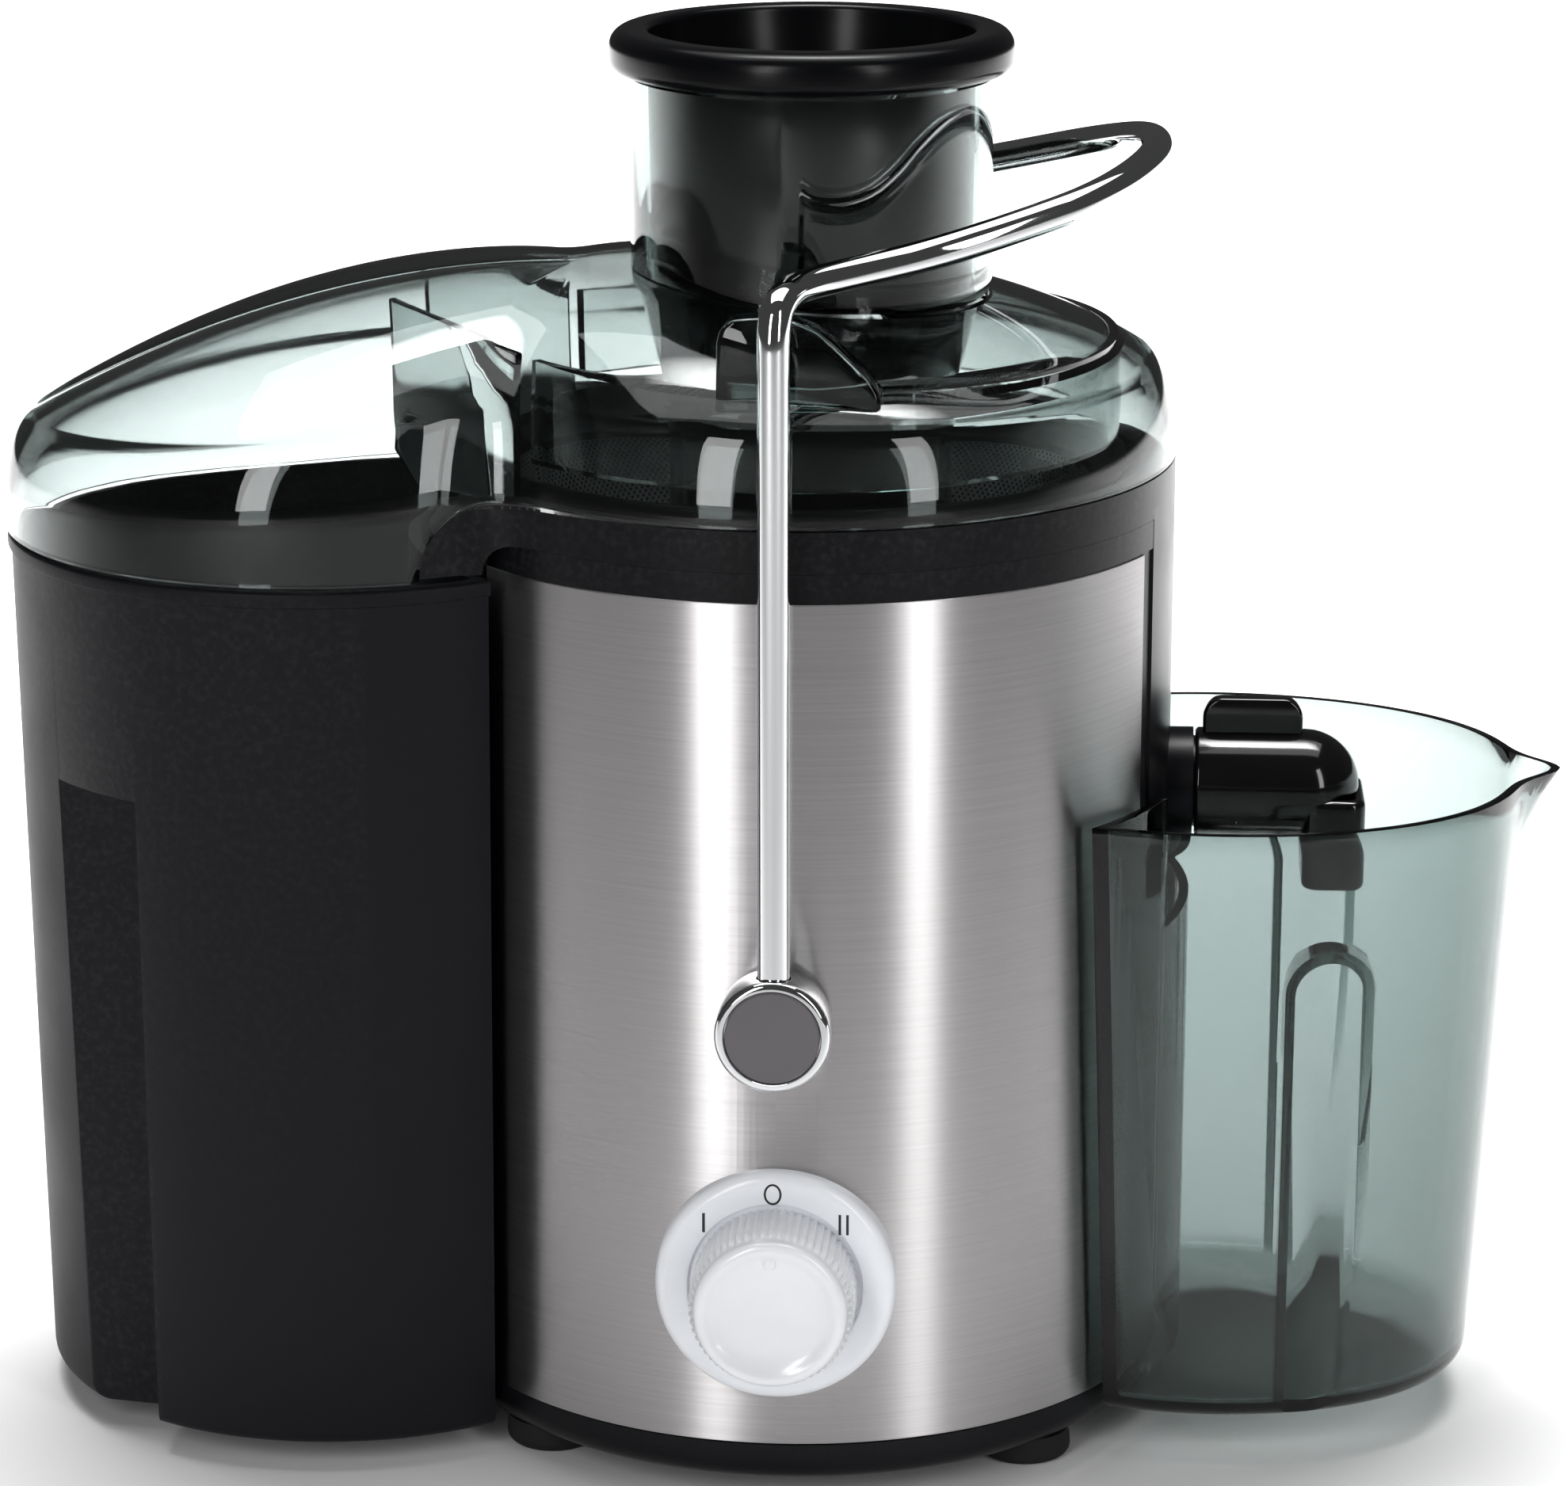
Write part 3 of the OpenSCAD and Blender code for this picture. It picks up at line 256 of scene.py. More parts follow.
# ---------------------------------------------------------------- materials
class Mat:
    """A small builder for node materials."""

    def __init__(self, name, base, metallic=0.0, rough=0.4):
        self.m = bpy.data.materials.new(name)
        self.m.use_nodes = True
        self.t = self.m.node_tree
        self.p = self.t.nodes["Principled BSDF"]
        self.out = self.t.nodes["Material Output"]
        self.set("Base Color", (*base, 1))
        self.set("Metallic", metallic)
        self.set("Roughness", rough)
        self.coord = self.t.nodes.new("ShaderNodeTexCoord")

    def set(self, name, value):
        self.p.inputs[name].default_value = value

    def node(self, kind, **inputs):
        n = self.t.nodes.new(kind)
        for k, v in inputs.items():
            n.inputs[k.replace("_", " ")].default_value = v
        return n

    def link(self, a, b):
        self.t.links.new(a, b)

    def maths(self, operation, *values):
        """A math node. Each value is a socket or a number."""
        n = self.node("ShaderNodeMath")
        n.operation = operation
        for i, value in enumerate(values):
            if isinstance(value, (int, float)):
                n.inputs[i].default_value = value
            else:
                self.link(value, n.inputs[i])
        return n.outputs[0]

    def stretch(self, vector, scale):
        n = self.node("ShaderNodeMapping")
        n.inputs["Scale"].default_value = scale
        self.link(vector, n.inputs["Vector"])
        return n.outputs["Vector"]

    def scaled(self, sx, sy, sz):
        return self.stretch(self.coord.outputs["Object"], (sx, sy, sz))

    def angle_and_height(self):
        """The point's angle about the vertical axis, and its height."""
        sep = self.node("ShaderNodeSeparateXYZ")
        self.link(self.coord.outputs["Object"], sep.inputs[0])
        return self.maths("ARCTAN2", sep.outputs["X"], sep.outputs["Y"]), sep.outputs["Z"]

    def noise(self, vector, scale, detail=4.0, rough=0.55):
        n = self.node("ShaderNodeTexNoise", Scale=scale, Detail=detail, Roughness=rough)
        self.link(vector, n.inputs["Vector"])
        return n.outputs["Fac"]

    def spread(self, value, lo, hi, a=0.3, b=0.7):
        n = self.node("ShaderNodeMapRange")
        n.inputs["From Min"].default_value = a
        n.inputs["From Max"].default_value = b
        n.inputs["To Min"].default_value = lo
        n.inputs["To Max"].default_value = hi
        self.link(value, n.inputs["Value"])
        return n.outputs["Result"]

    def bump(self, height, strength, distance):
        n = self.node("ShaderNodeBump", Strength=strength, Distance=distance)
        self.link(height, n.inputs["Height"])
        self.link(n.outputs["Normal"], self.p.inputs["Normal"])

    def colour(self, value, a, b):
        n = self.node("ShaderNodeMix")
        n.data_type = "RGBA"
        n.inputs[6].default_value = (*a, 1)
        n.inputs[7].default_value = (*b, 1)
        self.link(value, n.inputs[0])
        return n.outputs[2]

    def edge_wear(self, lighter, amount=0.35):
        """Mixes a lighter colour into the linked base colour where an edge is convex, broken up by noise."""
        geo = self.node("ShaderNodeNewGeometry")
        edge = self.spread(geo.outputs["Pointiness"], 0, 1, 0.52, 0.60)
        grit = self.spread(self.noise(self.scaled(1, 1, 1), 700, 3), 0, 1, 0.45, 0.7)
        worn = self.maths("MULTIPLY", self.maths("MULTIPLY", edge, grit), amount)
        mix = self.node("ShaderNodeMix")
        mix.data_type = "RGBA"
        self.link(self.p.inputs["Base Color"].links[0].from_socket, mix.inputs[6])
        mix.inputs[7].default_value = (*lighter, 1)
        self.link(worn, mix.inputs[0])
        self.link(mix.outputs[2], self.p.inputs["Base Color"])


def plastic(name, base, rough, grain=900.0, bump=0.12, spread=0.05, spec=0.5, wear=None, coat=0.0):
    m = Mat(name, base, 0.0, rough)
    m.set("Specular IOR Level", spec)
    m.set("Coat Weight", coat)
    m.set("Coat Roughness", 0.06)
    v = m.scaled(1, 1, 1)
    fine = m.noise(v, grain, 3)
    wide = m.noise(v, 28, 4)
    m.link(m.spread(wide, rough - spread, rough + spread), m.p.inputs["Roughness"])
    darker, paler = tuple(c * 0.86 for c in base), tuple(c * 1.16 for c in base)
    m.link(m.colour(wide, darker, paler), m.p.inputs["Base Color"])
    m.bump(fine, bump, 0.00012)
    if wear:
        m.edge_wear(wear)
    return m.m


def metal(name, base, rough, grain=(300, 300, 300), bump=0.05, spread=0.05):
    m = Mat(name, base, 1.0, rough)
    v = m.scaled(*grain)
    fine = m.noise(v, 1.0, 3)
    wide = m.noise(m.scaled(1, 1, 1), 40, 5)
    m.link(m.spread(wide, max(0.01, rough - spread), rough + spread), m.p.inputs["Roughness"])
    m.link(m.colour(wide, tuple(c * 0.94 for c in base), base), m.p.inputs["Base Color"])
    m.bump(fine, bump, 0.00005)
    m.edge_wear((0.9, 0.9, 0.9), 0.2)
    return m.m


def brushed_round(name, base, rough):
    """Steel brushed round a cylinder: the grain runs horizontally."""
    m = Mat(name, base, 1.0, rough)
    angle, height = m.angle_and_height()
    unrolled = m.node("ShaderNodeCombineXYZ")
    m.link(angle, unrolled.inputs["X"])
    m.link(height, unrolled.inputs["Y"])
    fine = m.noise(m.stretch(unrolled.outputs[0], (2.6, 5200, 1)), 1.0, 5, 0.7)
    coarse = m.noise(m.stretch(unrolled.outputs[0], (1.1, 1400, 1)), 1.0, 3, 0.6)
    grain = m.maths("ADD", fine, coarse)
    m.link(m.spread(grain, rough - 0.05, rough + 0.06, 0.6, 1.4), m.p.inputs["Roughness"])
    darker = tuple(c * 0.80 for c in base)
    m.link(m.colour(m.spread(grain, 0, 1, 0.7, 1.3), darker, base), m.p.inputs["Base Color"])
    m.set("Anisotropic", 1.0)
    m.set("Anisotropic Rotation", 0.25)
    tangent = m.node("ShaderNodeTangent")
    tangent.direction_type = "RADIAL"
    tangent.axis = "Z"
    m.link(tangent.outputs[0], m.p.inputs["Tangent"])
    m.bump(grain, 0.10, 0.00004)
    return m.m


def clear(name, tint, density, rough=0.02):
    """Clear tinted plastic: the walls are closed shells, so light is taken up inside them."""
    m = Mat(name, (1, 1, 1), 0.0, rough)
    m.set("Transmission Weight", 1.0)
    m.set("IOR", 1.45)
    vol = m.node("ShaderNodeVolumeAbsorption")
    vol.inputs["Color"].default_value = (*tint, 1)
    vol.inputs["Density"].default_value = density
    m.link(vol.outputs[0], m.out.inputs["Volume"])
    wide = m.noise(m.scaled(1, 1, 1), 30, 3)
    m.link(m.spread(wide, rough * 0.5, rough * 1.6), m.p.inputs["Roughness"])
    m.bump(wide, 0.02, 0.0005)
    return m.m


WORN_BLACK = (0.03, 0.03, 0.032)
WORN_SILVER = (0.8, 0.8, 0.8)
mat_bin = plastic("bin_black", (0.0065, 0.0065, 0.0086), 0.50, 1500, 0.2, 0.05, 0.14, WORN_BLACK)
mat_satin = plastic("satin_black", (0.0045, 0.0045, 0.0060), 0.32, 1300, 0.08, 0.05, 0.16, WORN_BLACK)
mat_pusher = plastic("pusher_black", (0.0025, 0.0027, 0.0034), 0.22, 1400, 0.04, 0.04, 0.16, WORN_BLACK)
mat_knob = plastic("knob_silver", (0.86, 0.87, 0.90), 0.24, 1600, 0.04, 0.04, 0.5, WORN_SILVER, 0.4)
mat_gloss = plastic("gloss_black", (0.0040, 0.0036, 0.0038), 0.10, 500, 0.03, 0.03, 0.5, None)
mat_rubber = plastic("rubber_black", (0.010, 0.010, 0.010), 0.70, 1400, 0.4, 0.08, 0.3)
mat_silver = plastic("silver_paint", (0.90, 0.92, 0.96), 0.30, 1600, 0.06, 0.04, 0.5, WORN_SILVER, 0.3)
mat_ivory = plastic("ivory_plastic", (0.55, 0.51, 0.42), 0.4)
mat_blue = plastic("fan_blue", (0.02, 0.05, 0.12), 0.35)
mat_disc = plastic("disc_grey", (0.130, 0.122, 0.132), 0.40, 260, 0.5, 0.08, 0.4)
mat_print = plastic("print_black", (0.012, 0.012, 0.012), 0.5)
mat_steel = brushed_round("brushed_steel", (0.66, 0.64, 0.645), 0.37)
mat_chrome = metal("chrome", (0.86, 0.87, 0.88), 0.045, (200, 200, 200), 0.01, 0.02)
mat_plated = metal("plated_steel", (0.62, 0.62, 0.63), 0.28)
mat_alloy = metal("cast_alloy", (0.50, 0.50, 0.51), 0.46, (500, 500, 500), 0.3)
mat_lam = metal("lamination", (0.33, 0.34, 0.36), 0.4, (20, 20, 2600), 0.6)
mat_copper = metal("copper_wire", (0.72, 0.30, 0.13), 0.30, (120, 120, 3000), 0.7)
mat_brass = metal("brass", (0.78, 0.58, 0.25), 0.28)
mat_carbon = plastic("carbon", (0.02, 0.02, 0.021), 0.6)
mat_blade = metal("blade_steel", (0.66, 0.66, 0.67), 0.25, (900, 900, 900), 0.15)
mat_wire = metal("mesh_steel", (0.48, 0.49, 0.50), 0.26, (900, 900, 900), 0.15)
mat_lid = clear("smoky_lid", (0.50, 0.572, 0.560), 330)
mat_jug = clear("smoky_jug", (0.56, 0.622, 0.612), 960)


def perforated(name, base, rough):
    """Sheet steel with rows of fine round dark dots for its holes, laid out by angle and height."""
    m = Mat(name, base, 1.0, rough)
    angle, height = m.angle_and_height()
    across = m.maths("COSINE", m.maths("MULTIPLY_ADD", angle, 230, 0.0))
    up = m.maths("COSINE", m.maths("MULTIPLY_ADD", height, 3900, 0.0))
    holes = m.spread(m.maths("MULTIPLY", across, up), 1, 0, 0.22, 0.42)
    m.link(m.colour(holes, (0.02, 0.022, 0.022), base), m.p.inputs["Base Color"])
    m.link(m.spread(m.noise(m.scaled(1, 1, 1), 60, 4), rough - 0.06, rough + 0.08), m.p.inputs["Roughness"])
    m.bump(holes, 0.5, 0.0002)
    return m.m


mat_mesh = perforated("mesh_perforated", (0.42, 0.43, 0.44), 0.3)


# ---------------------------------------------------------------- CAD nodes that are shown as they are
CARRIED = {
    "motor_housing": (mat_satin, "satin_black"), "base_screws": (mat_plated, "plated_steel"),
    "cord_gland": (mat_satin, "satin_black"), "rotary_switch": (mat_ivory, "ivory_plastic"),
    "safety_switch": (mat_satin, "satin_black"), "pivot_pins": (mat_plated, "plated_steel"),
    "lower_motor_bracket": (mat_alloy, "cast_alloy"), "upper_motor_bracket": (mat_alloy, "cast_alloy"),
    "motor_grommets": (mat_rubber, "rubber"), "motor_bolts": (mat_plated, "plated_steel"),
    "motor_stator": (mat_lam, "lamination_steel"), "field_coils": (mat_copper, "copper_wire"),
    "brush_holders": (mat_brass, "brass"), "carbon_brushes": (mat_carbon, "carbon"),
    "lower_bearing": (mat_plated, "plated_steel"), "upper_bearing": (mat_plated, "plated_steel"),
    "motor_shaft": (mat_plated, "plated_steel"), "rotor_core": (mat_lam, "lamination_steel"),
    "rotor_windings": (mat_copper, "copper_wire"), "commutator": (mat_copper, "copper_wire"),
    "cooling_fan": (mat_blue, "blue_plastic"), "drive_coupling": (mat_satin, "satin_black"),
    "basket_hub": (mat_satin, "satin_black"), "juice_bowl": (mat_satin, "satin_black"),
    "spout_o_ring": (mat_rubber, "rubber"), "blade_disc": (mat_blade, "brushed_steel"),
    "steel_wrap": (mat_steel, "brushed_steel"), "base_cover": (mat_satin, "satin_black"),
    "rubber_feet": (mat_rubber, "rubber"), "dial_bezel": (mat_silver, "silver_plastic"),
    "dial_knob": (mat_silver, "silver_plastic"), "front_pivot_cap": (mat_chrome, "chrome"),
    "rear_pivot_cap": (mat_chrome, "chrome"), "pivot_cap_discs": (mat_disc, "grey_disc"),
    "filter_mesh": (mat_wire, "mesh_steel"), "basket_ring": (mat_satin, "satin_black"),
    "spout_elbow": (mat_gloss, "gloss_black"), "pusher": (mat_satin, "satin_black"),
    "locking_arm": (mat_chrome, "chrome"), "lid": (mat_lid, "smoky_clear"),
    "juice_jug": (mat_jug, "jug_clear"), "pulp_container": (mat_bin, "matte_black"),
}
for name, (mat, slot) in CARRIED.items():
    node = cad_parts[name]
    node.data.materials.clear()
    node.data.materials.append(mat)


# ---------------------------------------------------------------- lid
LID_WALL = 2.2
CHUTE_X = 1.9
CHUTE_R = PUSH_HI[0] - 40.5 - CHUTE_X + 36.4
Z_CHUTE = LID_HI[2]
Z_ARCH = Z_HOUSE - 5.8
BIN_X = 97.0
LID_BIN_R = (-LID_LO[0]) - BIN_X
FILLET = 18.0
D_RING, D_BIN = RING_R + FILLET, LID_BIN_R + FILLET
FIL_X = -(D_RING ** 2 - D_BIN ** 2 + BIN_X ** 2) / (2 * BIN_X)
FIL_Y = math.sqrt(D_RING ** 2 - FIL_X ** 2)
ARCH_OUT = Z_RING - Z_ARCH
ARCH_IN = Z_HOUSE - Z_ARCH + 0.05
ARCH_LEFT = FIL_X - 13
ARCH_IN_LEFT = ARCH_LEFT + 11.6
LID_H = 38.0
SHOULDER = 6  # width of the rounded edge all round the lid
WALL_ROWS = 5
CROWN_ROWS = 28
RAY_X = -45.0
Z_FOOT = Z_RING + LID_H - 4
CHUTE_IN = CHUTE_R - LID_WALL - 0.5
PUSHER_R = CHUTE_IN - 1
Z_TAPER = Z_FOOT - 24
END_R = 25.5
END_OUT = END_R + 1 + LID_WALL


def ray_hit(cx, cy, r, a, far):
    dx = RAY_X - cx
    h = dx * math.cos(a) - cy * math.sin(a)
    d = h * h - (dx * dx + cy * cy - r * r)
    return -1 if d < 0 else -h + (1 if far else -1) * math.sqrt(d)


def lid_reach(a, g):
    both = max(ray_hit(0, 0, RING_R + g, a, True), ray_hit(-BIN_X, 0, LID_BIN_R + g, a, True))
    s = -1 if math.sin(a) < 0 else 1
    fil = ray_hit(FIL_X, s * FIL_Y, FILLET - g, a, False)
    t1 = math.atan2(s * FIL_Y * RING_R / D_RING, FIL_X * RING_R / D_RING - RAY_X)
    t2 = math.atan2(s * FIL_Y * LID_BIN_R / D_BIN, -BIN_X + (FIL_X + BIN_X) * LID_BIN_R / D_BIN - RAY_X)
    w = a - 2 * math.pi if a > math.pi else a
    return fil if fil > 0 and abs(t1) < abs(w) < abs(t2) else both


def lid_height(a, u, reach):
    f = (1 + math.cos(a)) / 2
    crown = Z_RING + LID_H
    edge = crown - LID_H * (0.92 - 0.37 * math.sqrt(f))
    drop = 11 + 5 * f
    s = max(0.0, 1 - u * reach / SHOULDER)
    return crown - (crown - edge) * (1 - u) ** (1.9 + 1.6 * f ** 0.4) - drop * (1 - math.sqrt(1 - s * s))


def lid_edge_z(x):
    """Lower edge of the lid: over the ring, along the arch, and over the bin."""
    r = ARCH_OUT + 0.4
    cx = ARCH_LEFT + ARCH_OUT
    if x >= cx:
        return Z_ARCH + r
    if x <= cx - r:
        return Z_ARCH - 1
    return Z_ARCH + math.sqrt(max(0.0, r * r - (x - cx) ** 2))


def lid_shell(rays=288):
    shares = (0.002, 0.008, 0.02, 0.04, 0.07, 0.11, 0.16, 0.22, 0.3, 0.4, 0.52, 0.66, 0.82, 1.0)
    steps_in = [SHOULDER * v for v in shares]
    verts, faces = [], []

    def skin(g):
        """Rows from the lower edge to the crown, moved in by g."""
        rows = []
        for k in range(-WALL_ROWS, len(steps_in) + CROWN_ROWS - 1):
            row = []
            for i in range(rays):
                a = 2 * math.pi * i / rays
                reach = lid_reach(a, -g)
                if k < 0:
                    x, y = RAY_X + reach * math.cos(a), reach * math.sin(a)
                    lo = lid_edge_z(x)
                    top = lid_height(a, 0, reach) - g
                    z = lo + (top - lo) * (k + WALL_ROWS) / WALL_ROWS
                else:
                    if k < len(steps_in):
                        u = steps_in[k] / reach
                    else:
                        u0 = SHOULDER / reach
                        u = u0 + (1 - u0) * (k - len(steps_in) + 1) / CROWN_ROWS
                    p = reach * (1 - u)
                    x, y, z = RAY_X + p * math.cos(a), p * math.sin(a), lid_height(a, u, reach) - g
                row.append(len(verts))
                verts.append((x, y, z))
            rows.append(row)
        tip = len(verts)
        verts.append((RAY_X, 0, Z_RING + LID_H - g))
        return rows, tip

    outer, tip_o = skin(0)
    inner, tip_i = skin(LID_WALL)
    for rows, tip, flip in ((outer, tip_o, False), (inner, tip_i, True)):
        for k in range(len(rows) - 1):
            for i in range(rays):
                j = (i + 1) % rays
                f = (rows[k][i], rows[k][j], rows[k + 1][j], rows[k + 1][i])
                faces.append(f[::-1] if flip else f)
        for i in range(rays):
            j = (i + 1) % rays
            f = (rows[-1][i], rows[-1][j], tip)
            faces.append(f[::-1] if flip else f)
    for i in range(rays):
        j = (i + 1) % rays
        faces.append((outer[0][j], outer[0][i], inner[0][i], inner[0][j]))
    return verts, faces


lid_obj = new_object("lid_shell", *lid_shell(), mat_lid, "cover", angle=50)
HOLE_R = CHUTE_R - 0.35
hole_prof = [(0, Z_FOOT - 45), (HOLE_R, Z_FOOT - 45), (HOLE_R, Z_FOOT + 40), (0, Z_FOOT + 40)]
boolean(lid_obj, scrap(*lathe(hole_prof, 192, CHUTE_X, closed=False)))
chute_prof = [(END_OUT - LID_WALL, PUSH_LO[2] + 3), (END_OUT, PUSH_LO[2] + 3), (END_OUT, Z_TAPER)]
chute_prof += [(CHUTE_R - 2.0, Z_FOOT - 2.2), (CHUTE_R - 0.4, Z_FOOT - 0.6), (CHUTE_R, Z_FOOT + 1.4)]
chute_prof += [(CHUTE_R, Z_CHUTE - 0.6), (CHUTE_R - 0.6, Z_CHUTE)]
chute_prof += [(CHUTE_IN + 0.6, Z_CHUTE), (CHUTE_IN, Z_CHUTE - 0.6)]
chute_prof += [(CHUTE_IN, Z_FOOT), (END_OUT - LID_WALL, Z_TAPER)]
boolean(lid_obj, scrap(*lathe(chute_prof, 192, CHUTE_X)), "UNION")
SKIRT_OUT, SKIRT_IN = 64.0, 62.0
skirt_prof = [(SKIRT_OUT, Z_RING + 5.0), (SKIRT_OUT, Z_RING + 24.5), (SKIRT_IN, Z_RING + 24.5)]
skirt_prof += [(SKIRT_IN, Z_RING + 5.6), (SKIRT_IN + 0.6, Z_RING + 5.0)]


def part_lathe(profile, a0, a1, n):
    """A profile turned over part of a circle, closed at both ends."""
    verts, faces = [], []
    m = len(profile)
    for i in range(n + 1):
        a = math.radians(a0 + (a1 - a0) * i / n)
        verts += [(r * math.cos(a), r * math.sin(a), z) for r, z in profile]
    for i in range(n):
        for k in range(m):
            j = (k + 1) % m
            faces.append((i * m + k, i * m + j, (i + 1) * m + j, (i + 1) * m + k))
    faces += [list(range(m))[::-1], [n * m + k for k in range(m)]]
    return verts, faces


boolean(lid_obj, scrap(*part_lathe(skirt_prof, -141, 141, 240)), "UNION")
shade(lid_obj, 38)
GUIDE_ANGLE, GUIDE_X, GUIDE_Y, GUIDE_WALL = 142.5, -52.8, -45.0, 2.0
guide_out = [(0, Z_RING - 2.6), (29, Z_RING - 2.6), (35, Z_RING + 4)]
guide_out += [(35, Z_RING + LID_H - 5.5), (0, Z_RING + LID_H - 10.5)]
ear_out = [(-12.3, Z_RING + 20), (-12.0, Z_RING + 34.4), (-11.2, Z_RING + 37.4), (-9, Z_RING + 39)]
ear_out += [(-4, Z_RING + 39.3), (3, Z_RING + 38.6), (7, Z_RING + 36.9), (10, Z_RING + 34.5)]
ear_out += [(17, Z_RING + 28), (19, Z_RING + 25), (19.5, Z_RING + 20)]
guides, ears = [], []
for s, side in ((1, "front"), (-1, "rear")):
    turn = Matrix.Rotation(math.radians(GUIDE_ANGLE * s), 4, "Z")
    place = Vector((GUIDE_X, GUIDE_Y * s, 0))
    v, f = prism_y(guide_out, 0.0, -GUIDE_WALL * s)
    v = [tuple(turn @ Vector(p) + place) for p in v]
    guide = new_object("pulp_guide_" + side, v, f, mat_lid, "cover", smooth=False)
    bevel(guide, 0.5, 2)
    shade(guide)
    guides.append(guide)
    v, f = prism_y(ear_out, -s * (RING_R - 18), -s * (RING_R - 10))
    ear = new_object("locking_ear_" + side, v, f, mat_lid, "cover", smooth=False)
    bevel(ear, 1.0, 3)
    shade(ear)
    ears.append(ear)
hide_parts("lid")


# ---------------------------------------------------------------- pusher
z1, z2 = Z_CHUTE + 0.4, PUSH_HI[2]
RIM_R = PUSH_HI[0] - CHUTE_X
prof = [(0, PUSH_LO[2]), (END_R - 3, PUSH_LO[2])] + arc((END_R - 3, PUSH_LO[2] + 3), 3, -90, 0, 6)
prof += [(END_R, Z_TAPER - 2), (END_R + 0.5, Z_TAPER)]
prof += [(PUSHER_R - 0.8, Z_FOOT - 1.5), (PUSHER_R, Z_FOOT + 0.8), (PUSHER_R, z1)]
prof += arc((RIM_R - 2.6, z1 + 2.6), 2.6, -90, 0, 8) + arc((RIM_R - 3.6, z2 - 3.6), 3.6, 0, 90, 12)
prof += arc((PUSHER_R + 1.2, z2 - 1.4), 1.4, 90, 180, 6)
prof += [(PUSHER_R - 0.6, z2 - 4.6), (PUSHER_R - 1.8, z1 - 1), (PUSHER_R - 2.4, z1 - 6)]
prof += [(PUSHER_R - 2.4, Z_FOOT), (END_R - 2.4, Z_TAPER)]
prof += [(END_R - 2.4, PUSH_LO[2] + 2.4), (0, PUSH_LO[2] + 2.4)]
v, f = lathe(prof, 192, CHUTE_X, closed=False)
pusher = new_object("pusher_cup", v, f, mat_pusher, "food_pusher", angle=35)
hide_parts("pusher")


# ---------------------------------------------------------------- locking arm, caps and discs
CAP_GAP, CAP_R, CAP_DEPTH = 1, 11.3, 9.7
LOOP_X, LOOP_Y, LOOP_RISE = 71, 45, 17
WIRE_Y = BODY_R + CAP_GAP + CAP_DEPTH / 2 + 0.1
WIRE_R = 3.15
Z_PIVOT = (CAP_LO[2] + CAP_HI[2]) / 2
LEG = 247.0
half = [(0, -WIRE_Y, Z_PIVOT + 4.65), (0, -WIRE_Y, LEG - 40), (0, -WIRE_Y, LEG - 14), (0, -WIRE_Y, LEG - 4),
        (1, -WIRE_Y + 3, LEG), (4, -WIRE_Y + 13, LEG + 0.8), (14, -60, LEG + 1.8), (28, -51, LEG + 3.8),
        (LOOP_X * 0.6, -LOOP_Y, LEG + LOOP_RISE * 0.45),
        (LOOP_X * 0.85, -LOOP_Y * 0.78, LEG + LOOP_RISE * 0.75), (LOOP_X, -LOOP_Y * 0.3, LEG + LOOP_RISE)]
ctrl = half + [(x, -y, z) for x, y, z in half[::-1]]
arm = new_object("arm_wire", *tube_along(bspline(ctrl, 14), WIRE_R - 0.005, 32), mat_chrome, "arm", angle=60)
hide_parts("locking_arm")

for s, name in ((1, "front"), (-1, "rear")):
    prof = [(3.1, 0), (CAP_R - 0.5, 0)] + arc((CAP_R - 0.5, 0.5), 0.5, -90, 0, 4)
    prof += arc((CAP_R - 1.4, CAP_DEPTH - 1.4), 1.4, 0, 80, 8) + [(CAP_R - 1.7, CAP_DEPTH)]
    prof += [(CAP_R - 1.9, CAP_DEPTH - 0.25), (CAP_R - 1.95, CAP_DEPTH - 1.4), (3.1, CAP_DEPTH - 1.4)]
    v, f = lathe(prof, 128)
    m = Matrix.Translation((0, -s * (BODY_R + CAP_GAP), Z_PIVOT))
    m = m @ Matrix.Rotation(math.radians(90 * s), 4, "X")
    cap = new_object("pivot_cap_" + name, turned(v, m), f, mat_chrome, "arm", angle=35)
    slot_r = WIRE_R + 0.25
    notch_prof = [(0, Z_PIVOT + 5), (slot_r, Z_PIVOT + 5), (slot_r, Z_PIVOT + 30), (0, Z_PIVOT + 30)]
    boolean(cap, scrap(*lathe(notch_prof, 48, 0, -s * WIRE_Y, closed=False)))
    shade(cap, 35)
    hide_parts(name + "_pivot_cap")
    prof = [(0, CAP_DEPTH - 1.3), (9.25, CAP_DEPTH - 1.3), (9.25, CAP_DEPTH - 0.35), (8.95, CAP_DEPTH - 0.05)]
    prof += [(6, CAP_DEPTH + 0.02), (0, CAP_DEPTH + 0.04)]
    v, f = lathe([(r, min(z, CAP_DEPTH - 0.01)) for r, z in prof], 96, closed=False)
    disc = new_object("pivot_disc_" + name, turned(v, m), f, mat_disc, "arm", angle=35)
    if s > 0:
        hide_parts("pivot_cap_discs")


# ---------------------------------------------------------------- juice jug
JUG_IN = BODY_R + 2.2
JUG_CX = BODY_R + 9.7
JUG_W = JUG_HI[1]
LIP_TIP = JUG_HI[0]
JUG_A = BODY_R + 71.7 - JUG_CX
Z_JUG0, Z_JUG1 = JUG_LO[2], JUG_HI[2]
SP_R = 11.2
TAB_RISE = 6.9
Z_SPOUT = ELB_HI[2] - TAB_RISE - SP_R
JUG_WALL = 2.0
GRIP_X = BODY_R + 31.9
GRIP_W = 6.8
GRIP_TOP = Z_JUG1 - 34
GRIP_Y = JUG_W - 11.5


def jug_plan(t, g, z):
    """Point of the jug's plan at level z and angle t, moved in by g."""
    k = 0.88 + 0.12 * (z - Z_JUG0) / (Z_JUG1 - Z_JUG0)
    a, b = JUG_A * k - g, JUG_W * k - g
    c, s = math.cos(t), math.sin(t)
    return JUG_CX + a * c, b * (1 if s >= 0 else -1) * abs(s) ** 0.86


